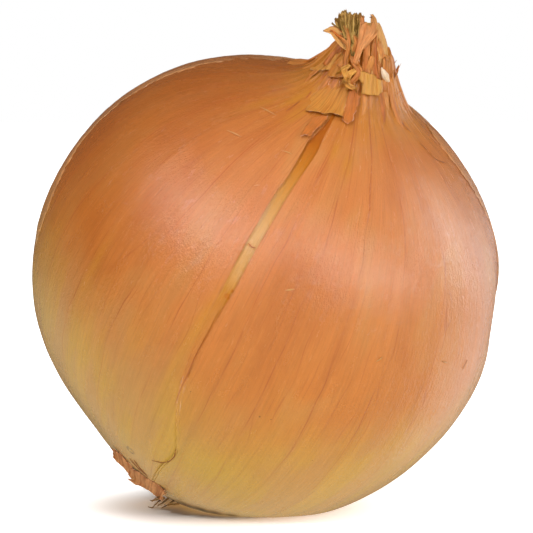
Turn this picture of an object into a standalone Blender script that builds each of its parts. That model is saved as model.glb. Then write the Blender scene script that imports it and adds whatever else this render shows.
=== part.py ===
"""A whole yellow onion with its dried neck and roots, leaning as it lies on a small flat spot.

Every shape is drawn in the onion's own frame, in millimetres: the bulb's centre is the origin,
the roots are at -Z and the neck at +Z. Latitude and azimuth are degrees on the bulb, and azimuth
-90 faces the front. The empty named resting_pose leans the whole onion and sets it down.
"""

import math
import random

import bmesh
import bpy
import numpy as np
from mathutils import Euler, Vector

MM = 0.001

# How the onion lies
LEAN_FORWARD = math.radians(19.5)
LEAN_RIGHT = math.radians(25.0)
BULB_CENTRE = (0.2, -1.8, 41.6)  # above the flat spot's centre
FLAT_BLEND = 0.4  # height over which the flat spot rounds off

# Bulb: latitude and distance from its centre to the skin
BULB_PROFILE = (
    (-90, 42.4), (-84, 43.3), (-76, 44.0), (-66, 43.5), (-42, 42.9),
    (-5, 43.2), (38, 43.3), (60, 42.4), (74, 41.9), (90, 41.9),
)
# Uneven growth: latitude, its spread, and how far the +X side stands out and the -X side falls in
LOPSIDED = ((-50, 22, 0.85), (66, 11, 0.4))
# Flattened places: latitude, azimuth, spread in degrees and depth
HOLLOWS = ((-53, -135, 20, 1.7), (18, 2, 8.5, 1.4))

# Neck: distance from the axis, and how far the neck stands above the bulb's round top there
NECK_RISE = (
    (0, 11.0), (4.2, 9.3), (5.6, 7.4), (7.0, 5.3), (8.6, 3.3), (10.5, 1.9), (13.5, 0.8), (17, 0.2), (21, 0),
)
NECK_TOP = 9.3
NECK_SHIFT = (-3.0, -0.4)  # the neck's top, off the bulb's axis
NECK_TILT = (0.35, -0.25)  # rise of the neck's top per millimetre along X and Y
THROAT_LATITUDE = 84.3
THROAT_RINGS = ((3.4, 50.7), (3.0, 48.0))  # radius and height of the throat's lip and floor
THROAT_FLOOR = 47.8
THROAT_TOP = 50.9

# Veins, counted round the bulb from the left of the front, and the slit torn down one of them
SEEN_VEINS = (-148.4, -135.9, -120.3, -107.7, -99.4, -92.1, -81.7, -69.4, -55.3, -39.9, -18.6)
HIDDEN_VEINS = 16
SLIT_VEIN = 4
RIB_HEIGHT = 0.35
PLEAT_DEPTH = 0.7
SLIT_PATH = ((-90, -99.0), (-30, -97.0), (-10, -99.0), (20, -99.5), (45, -100.2), (90, -100.6))
SLIT_HALF_WIDTH = ((-16, 0.0), (-8, 0.25), (2, 0.7), (14, 1.0), (30, 0.85), (50, 0.95), (62, 1.0), (70, 0.0))
SLIT_DEPTH = 0.5

# Loose skin and dried leaf ends
SHEET = 0.6
CLEARANCE = 0.45  # left between a loose piece and the bulb
FLOOR_CLEARANCE = 0.6

# Roots: they lie back along the bulb on its rear side, and their shares run from the plate to the tip
ROOT_COUNT = 22
ROOT_AZIMUTHS = (28, 166)
ROOT_SWERVE = 12
ROOT_LATITUDES = (-88.2, -84.6)
ROOT_REACH = (7, 15)  # degrees of latitude
ROOT_SHARES = np.array([0, 0.15, 0.5, 1])
ROOT_PROUD = np.array([0.55, 1.7, 2.2, 1.9])
ROOT_STRAY = ((0, 0), (0, 0), (-0.4, 1.2), (-0.5, 2.0))
ROOT_THICKNESS = (0.45, 0.4, 0.36, 0.3)  # radius
ROOT_ROOM = 0.4  # kept above the floor besides its clearance
PLATE_LATITUDE = -83.5
PLATE_THICKNESS = 0.9
PLATE_INNER_LATITUDE = -87
PLATE_SIDES = 14

COPPER = (0.60, 0.26, 0.09)
OCHRE = (0.58, 0.33, 0.09)
BROWN = (0.38, 0.15, 0.04)
PALE = (0.72, 0.47, 0.22)
OLIVE = (0.36, 0.26, 0.08)
SALMON = (0.66, 0.34, 0.17)
ROOT_BROWN = (0.24, 0.16, 0.07)
RED_BROWN = (0.40, 0.15, 0.07)


def smooth_through(knots, x):
    """Reads a smooth curve through (x, y) knots."""
    xs, ys = np.transpose(np.array(knots, float))
    slopes = np.gradient(ys, xs)
    left = np.clip(np.searchsorted(xs, x) - 1, 0, len(xs) - 2)
    span = xs[left + 1] - xs[left]
    t = np.clip((x - xs[left]) / span, 0, 1)
    ends = (1 + 2 * t) * (1 - t) ** 2 * ys[left] + t * t * (3 - 2 * t) * ys[left + 1]
    return ends + span * (t * (1 - t) ** 2 * slopes[left] + t * t * (t - 1) * slopes[left + 1])


def bell(distance, spread):
    return np.exp(-((distance / spread) ** 2))


def degrees_between(latitude, azimuth, other_latitude, other_azimuth):
    """Angle at the bulb's centre between two directions."""
    a, b = np.radians(latitude), math.radians(other_latitude)
    turn = np.radians(azimuth - other_azimuth)
    cosine = np.sin(a) * math.sin(b) + np.cos(a) * math.cos(b) * np.cos(turn)
    return np.degrees(np.arccos(np.clip(cosine, -1, 1)))


def vein_azimuths():
    first, last = SEEN_VEINS[0] + 360, SEEN_VEINS[-1]
    hidden = np.linspace(last, first, HIDDEN_VEINS + 2)[1:-1]
    return np.append(SEEN_VEINS, hidden)


VEINS = vein_azimuths()


def ridge(azimuth):
    """1 on a vein, 0 midway between two."""
    edges = np.append(VEINS, VEINS[0] + 360)
    place = (np.asarray(azimuth) - VEINS[0]) % 360 + VEINS[0]
    phase = np.interp(place, edges, np.arange(len(edges)))
    return 0.5 + 0.5 * np.cos(2 * np.pi * phase)


def skin(latitude, azimuth):
    """Points of the bulb's surface, ribs and neck pleats included."""
    latitude, azimuth = np.broadcast_arrays(np.asarray(latitude, float), np.asarray(azimuth, float))
    a, b = np.radians(latitude), np.radians(azimuth)
    out = smooth_through(BULB_PROFILE, latitude)
    for middle, spread, amount in LOPSIDED:
        out = out + amount * bell(latitude - middle, spread) * np.cos(b)
    for middle, turn, spread, depth in HOLLOWS:
        out = out - depth * bell(degrees_between(latitude, azimuth, middle, turn), spread)
    across = out * np.cos(a)
    rise = np.where(latitude > 50, smooth_through(NECK_RISE, np.minimum(across, NECK_RISE[-1][0])), 0)
    neck = np.clip(rise / NECK_TOP, 0, 1)
    rib = RIB_HEIGHT * ridge(azimuth) * np.cos(a)
    pleat = PLEAT_DEPTH * (ridge(azimuth) - 0.5) * neck
    across = across + rib * np.cos(a) + pleat
    tilt = across * (NECK_TILT[0] * np.cos(b) + NECK_TILT[1] * np.sin(b)) * neck**2
    height = (out + rib) * np.sin(a) + rise + tilt
    x = across * np.cos(b) + NECK_SHIFT[0] * neck
    y = across * np.sin(b) + NECK_SHIFT[1] * neck
    return np.stack([x, y, height], axis=-1)


def above_skin(latitude, azimuth, proud):
    """Points that stand a distance off the bulb, along its normal."""
    step = 0.3
    up = skin(latitude + step, azimuth) - skin(latitude - step, azimuth)
    round_it = skin(latitude, azimuth + 8 * step) - skin(latitude, azimuth - 8 * step)
    normal = np.cross(round_it, up)
    normal /= np.linalg.norm(normal, axis=-1, keepdims=True)
    return skin(latitude, azimuth) + np.asarray(proud)[..., None] * normal


TURN = np.array(Euler((LEAN_FORWARD, LEAN_RIGHT, 0)).to_matrix())


def standing(points):
    """From the onion's frame to the frame that it lies in."""
    return np.asarray(points) @ TURN.T + BULB_CENTRE


def leaning(points):
    """The way back, from the frame that it lies in to the onion's own."""
    return (np.asarray(points) - BULB_CENTRE) @ TURN


def lift_to(points, floor, blend):
    """Moves what is below a height up to it, rounding off over the blend."""
    placed = standing(points)
    height = placed[..., 2] - floor
    rounded = (height + blend) ** 2 / (4 * blend)
    height = np.where(height > blend, height, np.where(height < -blend, 0, rounded))
    placed[..., 2] = height + floor
    return leaning(placed)


THROAT = np.array([*NECK_SHIFT, THROAT_TOP])


def beside_throat(right, away, up):
    """A point by its place from the throat's middle, as seen from the front."""
    return THROAT + np.array([right, away, up]) @ TURN


def new_object(name, mesh, collection, pose, colour, roughness):
    made = bpy.data.objects.new(name, mesh)
    collection.objects.link(made)
    made.parent = pose
    material = bpy.data.materials.new(name)
    material.use_nodes = True
    shader = material.node_tree.nodes["Principled BSDF"]
    shader.inputs["Base Color"].default_value = (*colour, 1)
    shader.inputs["Roughness"].default_value = roughness
    shader.inputs["Metallic"].default_value = 0
    mesh.materials.append(material)
    mesh.shade_smooth()
    mesh.set_sharp_from_angle(angle=math.radians(40))
    return made


def lofted(sections, ring=False, start=None, end=None):
    """A mesh through rows of points; a ring joins each row's ends, and start and end close it."""
    sections = np.asarray(sections)
    rows, columns = sections.shape[:2]
    points = list(sections.reshape(-1, 3) * MM)
    faces = []
    for row in range(rows - 1):
        for column in range(columns if ring else columns - 1):
            here, beside = row * columns + column, row * columns + (column + 1) % columns
            faces.append((here, beside, beside + columns, here + columns))
    for tip, row, turned in ((start, 0, True), (end, rows - 1, False)):
        if tip is None:
            continue
        points.append(np.asarray(tip) * MM)
        for column in range(columns):
            here, beside = row * columns + column, row * columns + (column + 1) % columns
            fan = (len(points) - 1, here, beside)
            faces.append(fan[::-1] if turned else fan)
    mesh = bpy.data.meshes.new("loft")
    mesh.from_pydata([tuple(point) for point in points], [], faces)
    return mesh


def sheet(sections, thickness=SHEET):
    """A thin closed body round an open loft, split into triangles alike on both faces."""
    mesh = lofted(sections)
    shape = bmesh.new()
    shape.from_mesh(mesh)
    bmesh.ops.triangulate(shape, faces=shape.faces[:], quad_method="FIXED")
    shape.to_mesh(mesh)
    shape.free()
    holder = bpy.data.objects.new("sheet", mesh)
    bpy.context.scene.collection.objects.link(holder)
    wall = holder.modifiers.new("wall", "SOLIDIFY")
    wall.thickness = thickness * MM
    wall.offset = 0
    solid = evaluated_mesh(holder)
    bpy.data.objects.remove(holder)
    return solid


def evaluated_mesh(made):
    graph = bpy.context.evaluated_depsgraph_get()
    return bpy.data.meshes.new_from_object(made.evaluated_get(graph))


def tube(path, radii, sides):
    """A closed tapered tube along points, with pointed ends."""
    path = np.asarray(path, float)
    forward = np.gradient(path, axis=0)
    forward /= np.linalg.norm(forward, axis=1, keepdims=True)
    aside = np.cross(forward, (0.31, 0.87, 0.38))
    aside /= np.linalg.norm(aside, axis=1, keepdims=True)
    third = np.cross(forward, aside)
    turns = np.linspace(0, 2 * np.pi, sides, endpoint=False)
    rings = [
        point + radius * (np.outer(np.cos(turns), a) + np.outer(np.sin(turns), b))
        for point, radius, a, b in zip(path, radii, aside, third)
    ]
    start = path[0] - forward[0] * radii[0] * 0.3
    end = path[-1] + forward[-1] * radii[-1] * 0.6
    return lofted(rings, ring=True, start=start, end=end)


def fused(body, additions, solver="EXACT"):
    """One closed body from a mesh and what grows from it, joined by one Boolean union."""
    helpers = bpy.data.collections.new("additions")
    bpy.context.scene.collection.children.link(helpers)
    holder = bpy.data.objects.new("body", body)
    bpy.context.scene.collection.objects.link(holder)
    for mesh in additions:
        helpers.objects.link(bpy.data.objects.new("addition", mesh))
    union = holder.modifiers.new("union", "BOOLEAN")
    union.operation = "UNION"
    union.solver = solver
    union.operand_type = "COLLECTION"
    union.collection = helpers
    joined = evaluated_mesh(holder)
    for helper in list(helpers.objects):
        bpy.data.objects.remove(helper)
    bpy.data.collections.remove(helpers)
    bpy.data.objects.remove(holder)
    keep_largest_shell(joined)
    return joined


def keep_largest_shell(mesh):
    """Drops the scraps and fills the hollows that a union leaves."""
    shape = bmesh.new()
    shape.from_mesh(mesh)
    bmesh.ops.remove_doubles(shape, verts=shape.verts[:], dist=0.002 * MM)
    waiting, shells = set(shape.verts), []
    while waiting:
        shell, edge = set(), [waiting.pop()]
        while edge:
            vertex = edge.pop()
            shell.add(vertex)
            near = {link.other_vert(vertex) for link in vertex.link_edges} & waiting
            waiting -= near
            edge.extend(near)
        shells.append(shell)
    shells.sort(key=len)
    for shell in shells[:-1]:
        bmesh.ops.delete(shape, geom=list(shell), context="VERTS")
    shape.to_mesh(mesh)
    shape.free()


def bulb_columns(latitude):
    """Azimuths of the bulb's columns on one row, and how deep each lies in the slit."""
    middle = float(smooth_through(SLIT_PATH, latitude))
    open_width = max(float(smooth_through(SLIT_HALF_WIDTH, latitude)), 0)
    radius = float(smooth_through(BULB_PROFILE, latitude)) * math.cos(math.radians(latitude))
    half = max(math.degrees(open_width / radius), 1.0)
    depth = SLIT_DEPTH * min(open_width / 0.6, 1)
    edges = np.append(VEINS, VEINS[0] + 360)
    turns, depths = [], []
    for vein, (here, following) in enumerate(zip(edges[:-1], edges[1:])):
        if vein == SLIT_VEIN:
            turns += [middle + side * half for side in (-1, -0.6, 0.6, 1)]
            depths += [0, depth, depth, 0]
            shares = (0.55,)
        elif vein == SLIT_VEIN - 1:
            shares = (0, 0.4)
        else:
            shares = (0, 1 / 3, 2 / 3)
        turns += [here + share * (following - here) for share in shares]
        depths += [0] * len(shares)
    return np.array(turns), np.array(depths)


def bulb_mesh():
    latitudes = [*range(-84, 61, 6), 65, 69.5, 73, 76, 78.5, 80.5, 82, 83.2, THROAT_LATITUDE]
    rows = []
    for latitude in latitudes:
        turns, depths = bulb_columns(latitude)
        points = skin(latitude, turns)
        rows.append(points - depths[:, None] * points / np.linalg.norm(points, axis=1, keepdims=True))
    around = np.radians(turns)
    for radius, height in THROAT_RINGS:
        tilt = radius * (NECK_TILT[0] * np.cos(around) + NECK_TILT[1] * np.sin(around))
        ring = np.stack([radius * np.cos(around), radius * np.sin(around), tilt], axis=1)
        rows.append(ring + (*NECK_SHIFT, height))
    rows = lift_to(np.array(rows), 0, FLAT_BLEND)
    return lofted(rows, ring=True, start=skin(-90.0, 0.0), end=(*NECK_SHIFT, THROAT_FLOOR))


def between(start, finish, count):
    return start + (finish - start) * np.linspace(0, 1, count)[:, None]


def skin_patch(left_edge, right_edge, columns, lifts, ragged=0.0, seed=1):
    """Loose skin over the bulb, from its two edges as (latitude, azimuth) and each row's lift."""
    draw = random.Random(seed)
    rows = []
    for left, right, lift in zip(left_edge, right_edge, lifts):
        places = between(np.array(left, float), np.array(right, float), columns)
        proud = CLEARANCE + SHEET / 2 + np.broadcast_to(lift, columns)
        rows.append(np.column_stack([places, proud]))
    rows = np.array(rows)
    for row in (0, -1):
        rows[row, :, 0] += [draw.uniform(-ragged, ragged) for _ in range(columns)]
    return above_skin(rows[..., 0], rows[..., 1], rows[..., 2])


def blade(path, widths, facing, cup=0.0, columns=4, ragged=0.0, pleats=0.0, seed=1):
    """Rows of a leaf end: a ribbon along a path, cupped or pleated, with a ragged tip.

    facing is the direction that the leaf's inner face looks in, in the onion's frame.
    """
    draw = random.Random(seed)
    path = np.asarray(path, float)
    forward = np.gradient(path, axis=0)
    forward /= np.linalg.norm(forward, axis=1, keepdims=True)
    aside = np.cross(forward, facing)
    aside /= np.linalg.norm(aside, axis=1, keepdims=True)
    face = np.cross(aside, forward)
    shares = np.linspace(-1, 1, columns)
    fold = np.where(np.arange(columns) % 2, pleats, -pleats)
    rows = []
    for point, width, a, f in zip(path, widths, aside, face):
        rise = cup * width * shares**2 + fold
        rows.append(point + np.outer(shares * width / 2, a) + np.outer(rise, f))
    rows = np.array(rows)
    tips = np.array([draw.uniform(-ragged, ragged) for _ in range(columns)])
    rows[-1] += np.outer(tips, forward[-1])
    return rows


TOWARDS_FRONT = np.array([0, -1, 0]) @ TURN
TOWARDS_LEFT = np.array([-1, 0, 0]) @ TURN


# The bundle in the throat: right, away and up from the throat's middle
BUNDLE_CORE = ((0, 0, -1.7), (-0.1, 0, 0.3), (-0.9, 0, 2.2), (-1.9, 0.1, 4.2))
BUNDLE_CORE_RADII = (2.0, 2.1, 1.9, 1.0)
BUNDLE_CURL = ((-1.0, -0.4, 0.7), (-3.0, -0.7, 1.9), (-4.8, -0.9, 2.0), (-6.4, -0.9, 3.0))
BUNDLE_SLIVER_TIPS = ((-5.7, 0.4, 4.0), (-4.6, -0.7, 4.7), (-3.0, 1.6, 6.6))
BUNDLE_LEAVES = 8
BUNDLE_HEIGHT = 5.5


def neck_bundle():
    """The inner leaf ends, rolled round a slim core that stands in the throat."""
    core = tube([beside_throat(*at) for at in BUNDLE_CORE], BUNDLE_CORE_RADII, 9)
    leaves = []
    for index in range(BUNDLE_LEAVES):
        turn = 2 * math.pi * index / BUNDLE_LEAVES
        right, away = math.cos(turn), math.sin(turn)
        tall = BUNDLE_HEIGHT + 0.9 * math.sin(2.3 * index + 0.6)
        path = [
            beside_throat(-0.1 + 1.0 * right, 1.0 * away, -0.6),
            beside_throat(-0.6 + 1.6 * right, 1.6 * away, 1.5),
            beside_throat(-1.7 + 1.9 * right, 1.8 * away, 3.6),
            beside_throat(-2.3 + 2.1 * right, 2.1 * away, tall),
        ]
        facing = np.array([-right, -away, 0]) @ TURN
        leaves.append(sheet(blade(path, (1.6, 1.9, 1.8, 1.5), facing, 0.14, ragged=0.7, seed=index)))
    curl = [beside_throat(*at) for at in BUNDLE_CURL]
    leaves.append(sheet(blade(curl, (1.4, 1.8, 2.0, 1.3), TOWARDS_FRONT, 0.2)))
    for tip in BUNDLE_SLIVER_TIPS:
        halfway = np.multiply(tip, 0.55)
        path = [beside_throat(-0.8, 0, 0.4), beside_throat(*halfway), beside_throat(*tip)]
        leaves.append(sheet(blade(path, (1.0, 0.9, 0.6), TOWARDS_FRONT, columns=3)))
    return fused(core, leaves)


def fan_leaf():
    """The pleated leaf end that fans out in front of the bundle."""
    foot = [above_skin(82.0, -100.0, 1.15), above_skin(83.6, -98.0, 1.15)]
    path = [*foot, beside_throat(-0.4, -5.1, 0.4), beside_throat(0.4, -5.0, 2.6), beside_throat(0.5, -4.7, 5.0)]
    return sheet(blade(path, (1.3, 1.7, 2.6, 4.1, 2.7), TOWARDS_FRONT, 0.05, 7, ragged=0.6, pleats=0.14))


def curled_leaf():
    """The leaf end that stands at the right of the throat and curls over to the left."""
    foot = [above_skin(82.6, -8.0, 1.15), above_skin(83.9, -6.0, 1.15)]
    rest = ((4.1, -0.6, 1.2), (3.6, -0.6, 3.4), (2.6, -0.6, 5.0), (1.5, -0.6, 5.5))
    path = [*foot, *(beside_throat(*at) for at in rest)]
    return sheet(blade(path, (2.2, 2.4, 2.5, 2.4, 2.0, 1.3), TOWARDS_LEFT, 0.12, 5, ragged=0.3, seed=4))


def neck_collar():
    """Torn outer skin round the neck, its upper edge in standing slivers."""
    columns = 25
    rows = skin_patch(
        ((71.5, -21), (74.5, -26), (77.5, -33), (79.8, -37), (81.4, -38)),
        ((70.5, 165), (74.0, 168), (77.5, 170), (79.8, 172), (81.4, 174)),
        columns,
        (0.1, 0, 0, 0.1, 0.25),
        ragged=0.6,
    )
    draw = random.Random(8)
    slivers = [draw.uniform(1.8, 3.4) if column % 2 else draw.uniform(0.5, 1.0) for column in range(columns)]
    outward = rows[-1] - (*NECK_SHIFT, 0)
    outward[:, 2] = 0
    outward /= np.linalg.norm(outward, axis=1, keepdims=True)
    tips = rows[-1] + np.outer(slivers, (0, 0, 1)) + 0.1 * outward
    return sheet([*rows, tips])


def base_flap(attached, free, lift, seed):
    """A torn flap near the roots, held along its upper edge and curling off the bulb."""
    left, right = zip(attached, free)
    steps = np.linspace(0, 1, 4)[:, None]
    left_edge = np.array(left[0]) + steps * np.subtract(left[1], left[0])
    right_edge = np.array(right[0]) + steps * np.subtract(right[1], right[0])
    rows = skin_patch(left_edge, right_edge, 7, lift * steps.ravel() ** 1.5, ragged=0, seed=seed)
    draw = random.Random(seed)
    rows[-1] += np.outer([draw.uniform(-0.9, 0.9) for _ in range(7)], (0, 0, 1))
    return sheet(lift_to(rows, FLOOR_CLEARANCE + SHEET, FLAT_BLEND)[::-1])


def basal_plate():
    """The thin hard plate at the root end, close under the bulb."""
    turns = np.linspace(0, 360, PLATE_SIDES, endpoint=False)
    inner, outer = CLEARANCE, CLEARANCE + PLATE_THICKNESS
    corners = (
        (PLATE_INNER_LATITUDE, outer), (PLATE_LATITUDE, outer), (PLATE_LATITUDE, inner), (PLATE_INNER_LATITUDE, inner),
    )
    rings = [above_skin(latitude, turns, np.full(PLATE_SIDES, proud)) for latitude, proud in corners]
    pole = skin(-90.0, 0.0)
    return lofted(rings, ring=True, start=pole - (0, 0, outer), end=pole - (0, 0, inner))


def root_tuft():
    """Dried roots that lie back along the bulb, away from the flat spot."""
    draw = random.Random(21)
    first, last = ROOT_AZIMUTHS
    roots = []
    for index in range(ROOT_COUNT):
        turn = first + (last - first) * (index + draw.uniform(0.2, 0.8)) / ROOT_COUNT
        latitudes = draw.uniform(*ROOT_LATITUDES) + draw.uniform(*ROOT_REACH) * ROOT_SHARES
        turns = turn + draw.uniform(-ROOT_SWERVE, ROOT_SWERVE) * ROOT_SHARES
        stray = np.array([draw.uniform(*limits) for limits in ROOT_STRAY])
        path = above_skin(latitudes, turns, CLEARANCE + ROOT_PROUD + stray)
        path = lift_to(path, FLOOR_CLEARANCE + ROOT_ROOM, FLAT_BLEND)
        roots.append(tube(path, ROOT_THICKNESS, 4))
    return fused(basal_plate(), roots, "MANIFOLD")


FLAKES = {
    "neck_flake_ochre": (
        ((68.5, -138), (71.5, -146), (74.5, -152), (77.4, -140)),
        ((72.4, -94.5), (74.6, -94.5), (76.8, -94.5), (78.4, -94.5)),
        9, (0.8, 0.3, 0.1, 0), OCHRE,
    ),
    "neck_flake_brown": (
        ((72.3, -90.5), (74.4, -90.5), (76.5, -90.8), (78.4, -91.0)),
        ((72.9, -82.0), (74.8, -81.0), (76.6, -80.5), (78.2, -80.0)),
        4, (0.5, 0.2, 0.1, 0), BROWN,
    ),
    "neck_flake_pale": (
        ((79.3, -80), (80.5, -82), (81.7, -84)),
        ((79.0, -47), (80.3, -45), (81.6, -48)),
        6, (0.3, 0.1, 0), PALE,
    ),
}

# Flaps near the roots: the attached edge and the free edge, each from left to right, and the lift
BASE_FLAPS = (
    (((-47.8, -118), (-52, -107)), ((-53.5, -119.5), (-58, -108.5)), 0.7),
    (((-52, -105), (-50, -92)), ((-60, -106.5), (-57.5, -91)), 0.9),
    (((-58, 148), (-56, 176)), ((-68, 146), (-66, 174)), 1.5),
    (((-57, 96), (-59, 128)), ((-66, 98), (-69, 130)), 1.1),
    (((-60, 50), (-57, 78)), ((-69, 46), (-66, 80)), 1.6),
)


def build():
    for old in list(bpy.data.objects):
        bpy.data.objects.remove(old)
    onion = bpy.data.collections.new("onion")
    bpy.context.scene.collection.children.link(onion)
    pose = bpy.data.objects.new("resting_pose", None)
    onion.objects.link(pose)
    pose.location = Vector(BULB_CENTRE) * MM
    pose.rotation_euler = (LEAN_FORWARD, LEAN_RIGHT, 0)

    new_object("bulb", bulb_mesh(), onion, pose, COPPER, 0.35)
    new_object("neck_leaf_bundle", neck_bundle(), onion, pose, OLIVE, 0.75)
    new_object("neck_fan_leaf", fan_leaf(), onion, pose, SALMON, 0.6)
    new_object("neck_curled_leaf", curled_leaf(), onion, pose, OCHRE, 0.6)
    new_object("neck_collar", neck_collar(), onion, pose, OCHRE, 0.55)
    for name, (left_edge, right_edge, columns, lifts, colour) in FLAKES.items():
        patch = skin_patch(left_edge, right_edge, columns, lifts, ragged=0.25, seed=len(name))
        new_object(name, sheet(patch), onion, pose, colour, 0.5)
    for number, (attached, free, lift) in enumerate(BASE_FLAPS, 1):
        flap = base_flap(attached, free, lift, number)
        new_object(f"base_skin_flap_{number}", flap, onion, pose, RED_BROWN, 0.6)
    new_object("root_tuft", root_tuft(), onion, pose, ROOT_BROWN, 0.85)


build()
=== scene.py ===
"""The looks of a whole yellow onion: papery skin, torn slit, dried neck and roots.

Shapes are drawn in the onion's own frame, in millimetres: the bulb's centre is the origin, the
roots are at -Z and the neck at +Z. Latitude and azimuth are degrees on the bulb, and azimuth -90
faces the front. standing() leans the onion as the CAD part lies, and MM turns it into metres.
"""

import math
import random

import bpy
import numpy as np
from mathutils import Euler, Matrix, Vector, noise

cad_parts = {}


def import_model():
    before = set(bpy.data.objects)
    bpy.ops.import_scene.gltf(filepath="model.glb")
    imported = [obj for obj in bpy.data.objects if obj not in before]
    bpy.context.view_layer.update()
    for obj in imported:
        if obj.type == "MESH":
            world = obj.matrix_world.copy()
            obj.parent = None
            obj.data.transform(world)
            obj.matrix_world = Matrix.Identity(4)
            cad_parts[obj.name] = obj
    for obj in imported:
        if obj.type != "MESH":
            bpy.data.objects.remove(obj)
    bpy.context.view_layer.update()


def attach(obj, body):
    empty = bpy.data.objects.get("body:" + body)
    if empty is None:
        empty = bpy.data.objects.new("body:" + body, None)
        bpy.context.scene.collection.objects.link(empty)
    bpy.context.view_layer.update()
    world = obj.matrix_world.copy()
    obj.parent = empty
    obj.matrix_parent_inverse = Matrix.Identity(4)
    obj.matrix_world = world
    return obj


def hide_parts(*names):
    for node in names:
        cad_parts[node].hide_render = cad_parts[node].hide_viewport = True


MM = 0.001

# How the onion lies, as in the CAD part
LEAN_FORWARD = math.radians(19.5)
LEAN_RIGHT = math.radians(25.0)
BULB_CENTRE = (0.2, -1.8, 41.6)
FLAT_BLEND = 0.4

# Bulb: latitude and distance from its centre to the skin
BULB_PROFILE = (
    (-90, 42.4), (-84, 43.3), (-76, 44.0), (-66, 43.5), (-42, 42.9),
    (-5, 43.2), (38, 43.3), (60, 42.4), (74, 41.9), (90, 41.9),
)
LOPSIDED = ((-50, 22, 0.85), (66, 11, 0.4))
HOLLOWS = ((-53, -135, 20, 1.7), (18, 2, 8.5, 1.4))
BULB_RADIUS = 43.0

# Neck
NECK_RISE = (
    (0, 11.0), (4.2, 9.3), (5.6, 7.4), (7.0, 5.3), (8.6, 3.3), (10.5, 1.9), (13.5, 0.8), (17, 0.2), (21, 0),
)
NECK_TOP = 9.3
NECK_SHIFT = (-3.0, -0.4)
NECK_TILT = (0.35, -0.25)
THROAT_LATITUDE = 84.3
THROAT_RINGS = ((3.4, 50.7), (3.0, 48.0))
THROAT_FLOOR = 47.8
THROAT_TOP = 50.9

# Veins, and the low ribs that they raise in the thin skin
SEEN_VEINS = (-148.4, -135.9, -120.3, -107.7, -99.4, -92.1, -81.7, -69.4, -55.3, -39.9, -18.6)
HIDDEN_VEINS = 16
SLIT_VEIN = 4
RIB_BASE = 0.1
RIB_HEIGHT = 0.07
PLEAT_DEPTH = 0.6
FINE_PLEATS = 0.2
# Waves of the fine pleats: share of the depth, waves a turn (as radians), and how they sway
FINE_WAVES = ((1.0, 40.5, 2.4, 5), (0.6, 29, 1.7, 3))

# Edges of the slit torn in the outer skin, as latitude and azimuth, and how deep its floor lies
SLIT_LEFT = (
    (-90, -98.0), (-36, -96.3), (-27, -94.2), (-20, -96.2), (-10, -99.0), (0, -100.3), (13, -100.9),
    (21.6, -101.0), (28.3, -101.3), (36.7, -101.5), (44, -101.9), (52, -101.8), (58.3, -103.0), (62, -103.9),
    (67, -102.6), (71, -101.6), (90, -101.2),
)
SLIT_RIGHT = (
    (-90, -97.4), (-36, -95.7), (-27, -93.7), (-20, -95.6), (-10, -98.2), (0, -99.2), (12, -98.9),
    (20, -98.3), (28, -98.3), (36, -98.1), (45, -98.0), (52, -97.6), (60.5, -97.2), (66, -98.5), (70, -98.7),
    (74, -99.0), (90, -99.4),
)
SLIT_DEPTH = ((-90, 0), (-3, 0), (4, 0.03), (15, 0.08), (22, 0.22), (40, 0.34), (64, 0.38), (70, 0.3),
              (74, 0), (90, 0))
SLIT_LIP = 0.07


def smooth_through(knots, x):
    """Reads a smooth curve through (x, y) knots."""
    xs, ys = np.transpose(np.array(knots, float))
    slopes = np.gradient(ys, xs)
    left = np.clip(np.searchsorted(xs, x) - 1, 0, len(xs) - 2)
    span = xs[left + 1] - xs[left]
    t = np.clip((x - xs[left]) / span, 0, 1)
    ends = (1 + 2 * t) * (1 - t) ** 2 * ys[left] + t * t * (3 - 2 * t) * ys[left + 1]
    return ends + span * (t * (1 - t) ** 2 * slopes[left] + t * t * (t - 1) * slopes[left + 1])


def straight_through(knots, x):
    xs, ys = np.transpose(np.array(knots, float))
    return np.interp(x, xs, ys)


def bell(distance, spread):
    return np.exp(-((distance / spread) ** 2))


def eased(low, high, x):
    """0 below low, 1 above high, and a soft step between."""
    t = np.clip((x - low) / (high - low), 0, 1)
    return t * t * (3 - 2 * t)


def degrees_between(latitude, azimuth, other_latitude, other_azimuth):
    """Angle at the bulb's centre between two directions."""
    a, b = np.radians(latitude), math.radians(other_latitude)
    turn = np.radians(azimuth - other_azimuth)
    cosine = np.sin(a) * math.sin(b) + np.cos(a) * math.cos(b) * np.cos(turn)
    return np.degrees(np.arccos(np.clip(cosine, -1, 1)))


def vein_azimuths():
    first, last = SEEN_VEINS[0] + 360, SEEN_VEINS[-1]
    hidden = np.linspace(last, first, HIDDEN_VEINS + 2)[1:-1]
    return np.append(SEEN_VEINS, hidden)


VEINS = vein_azimuths()
VEIN_EDGES = np.append(VEINS, VEINS[0] + 360)


def vein_phase(azimuth):
    """Veins passed since the first, a whole number on each vein."""
    place = (np.asarray(azimuth) - VEINS[0]) % 360 + VEINS[0]
    return np.interp(place, VEIN_EDGES, np.arange(len(VEIN_EDGES)))


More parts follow.
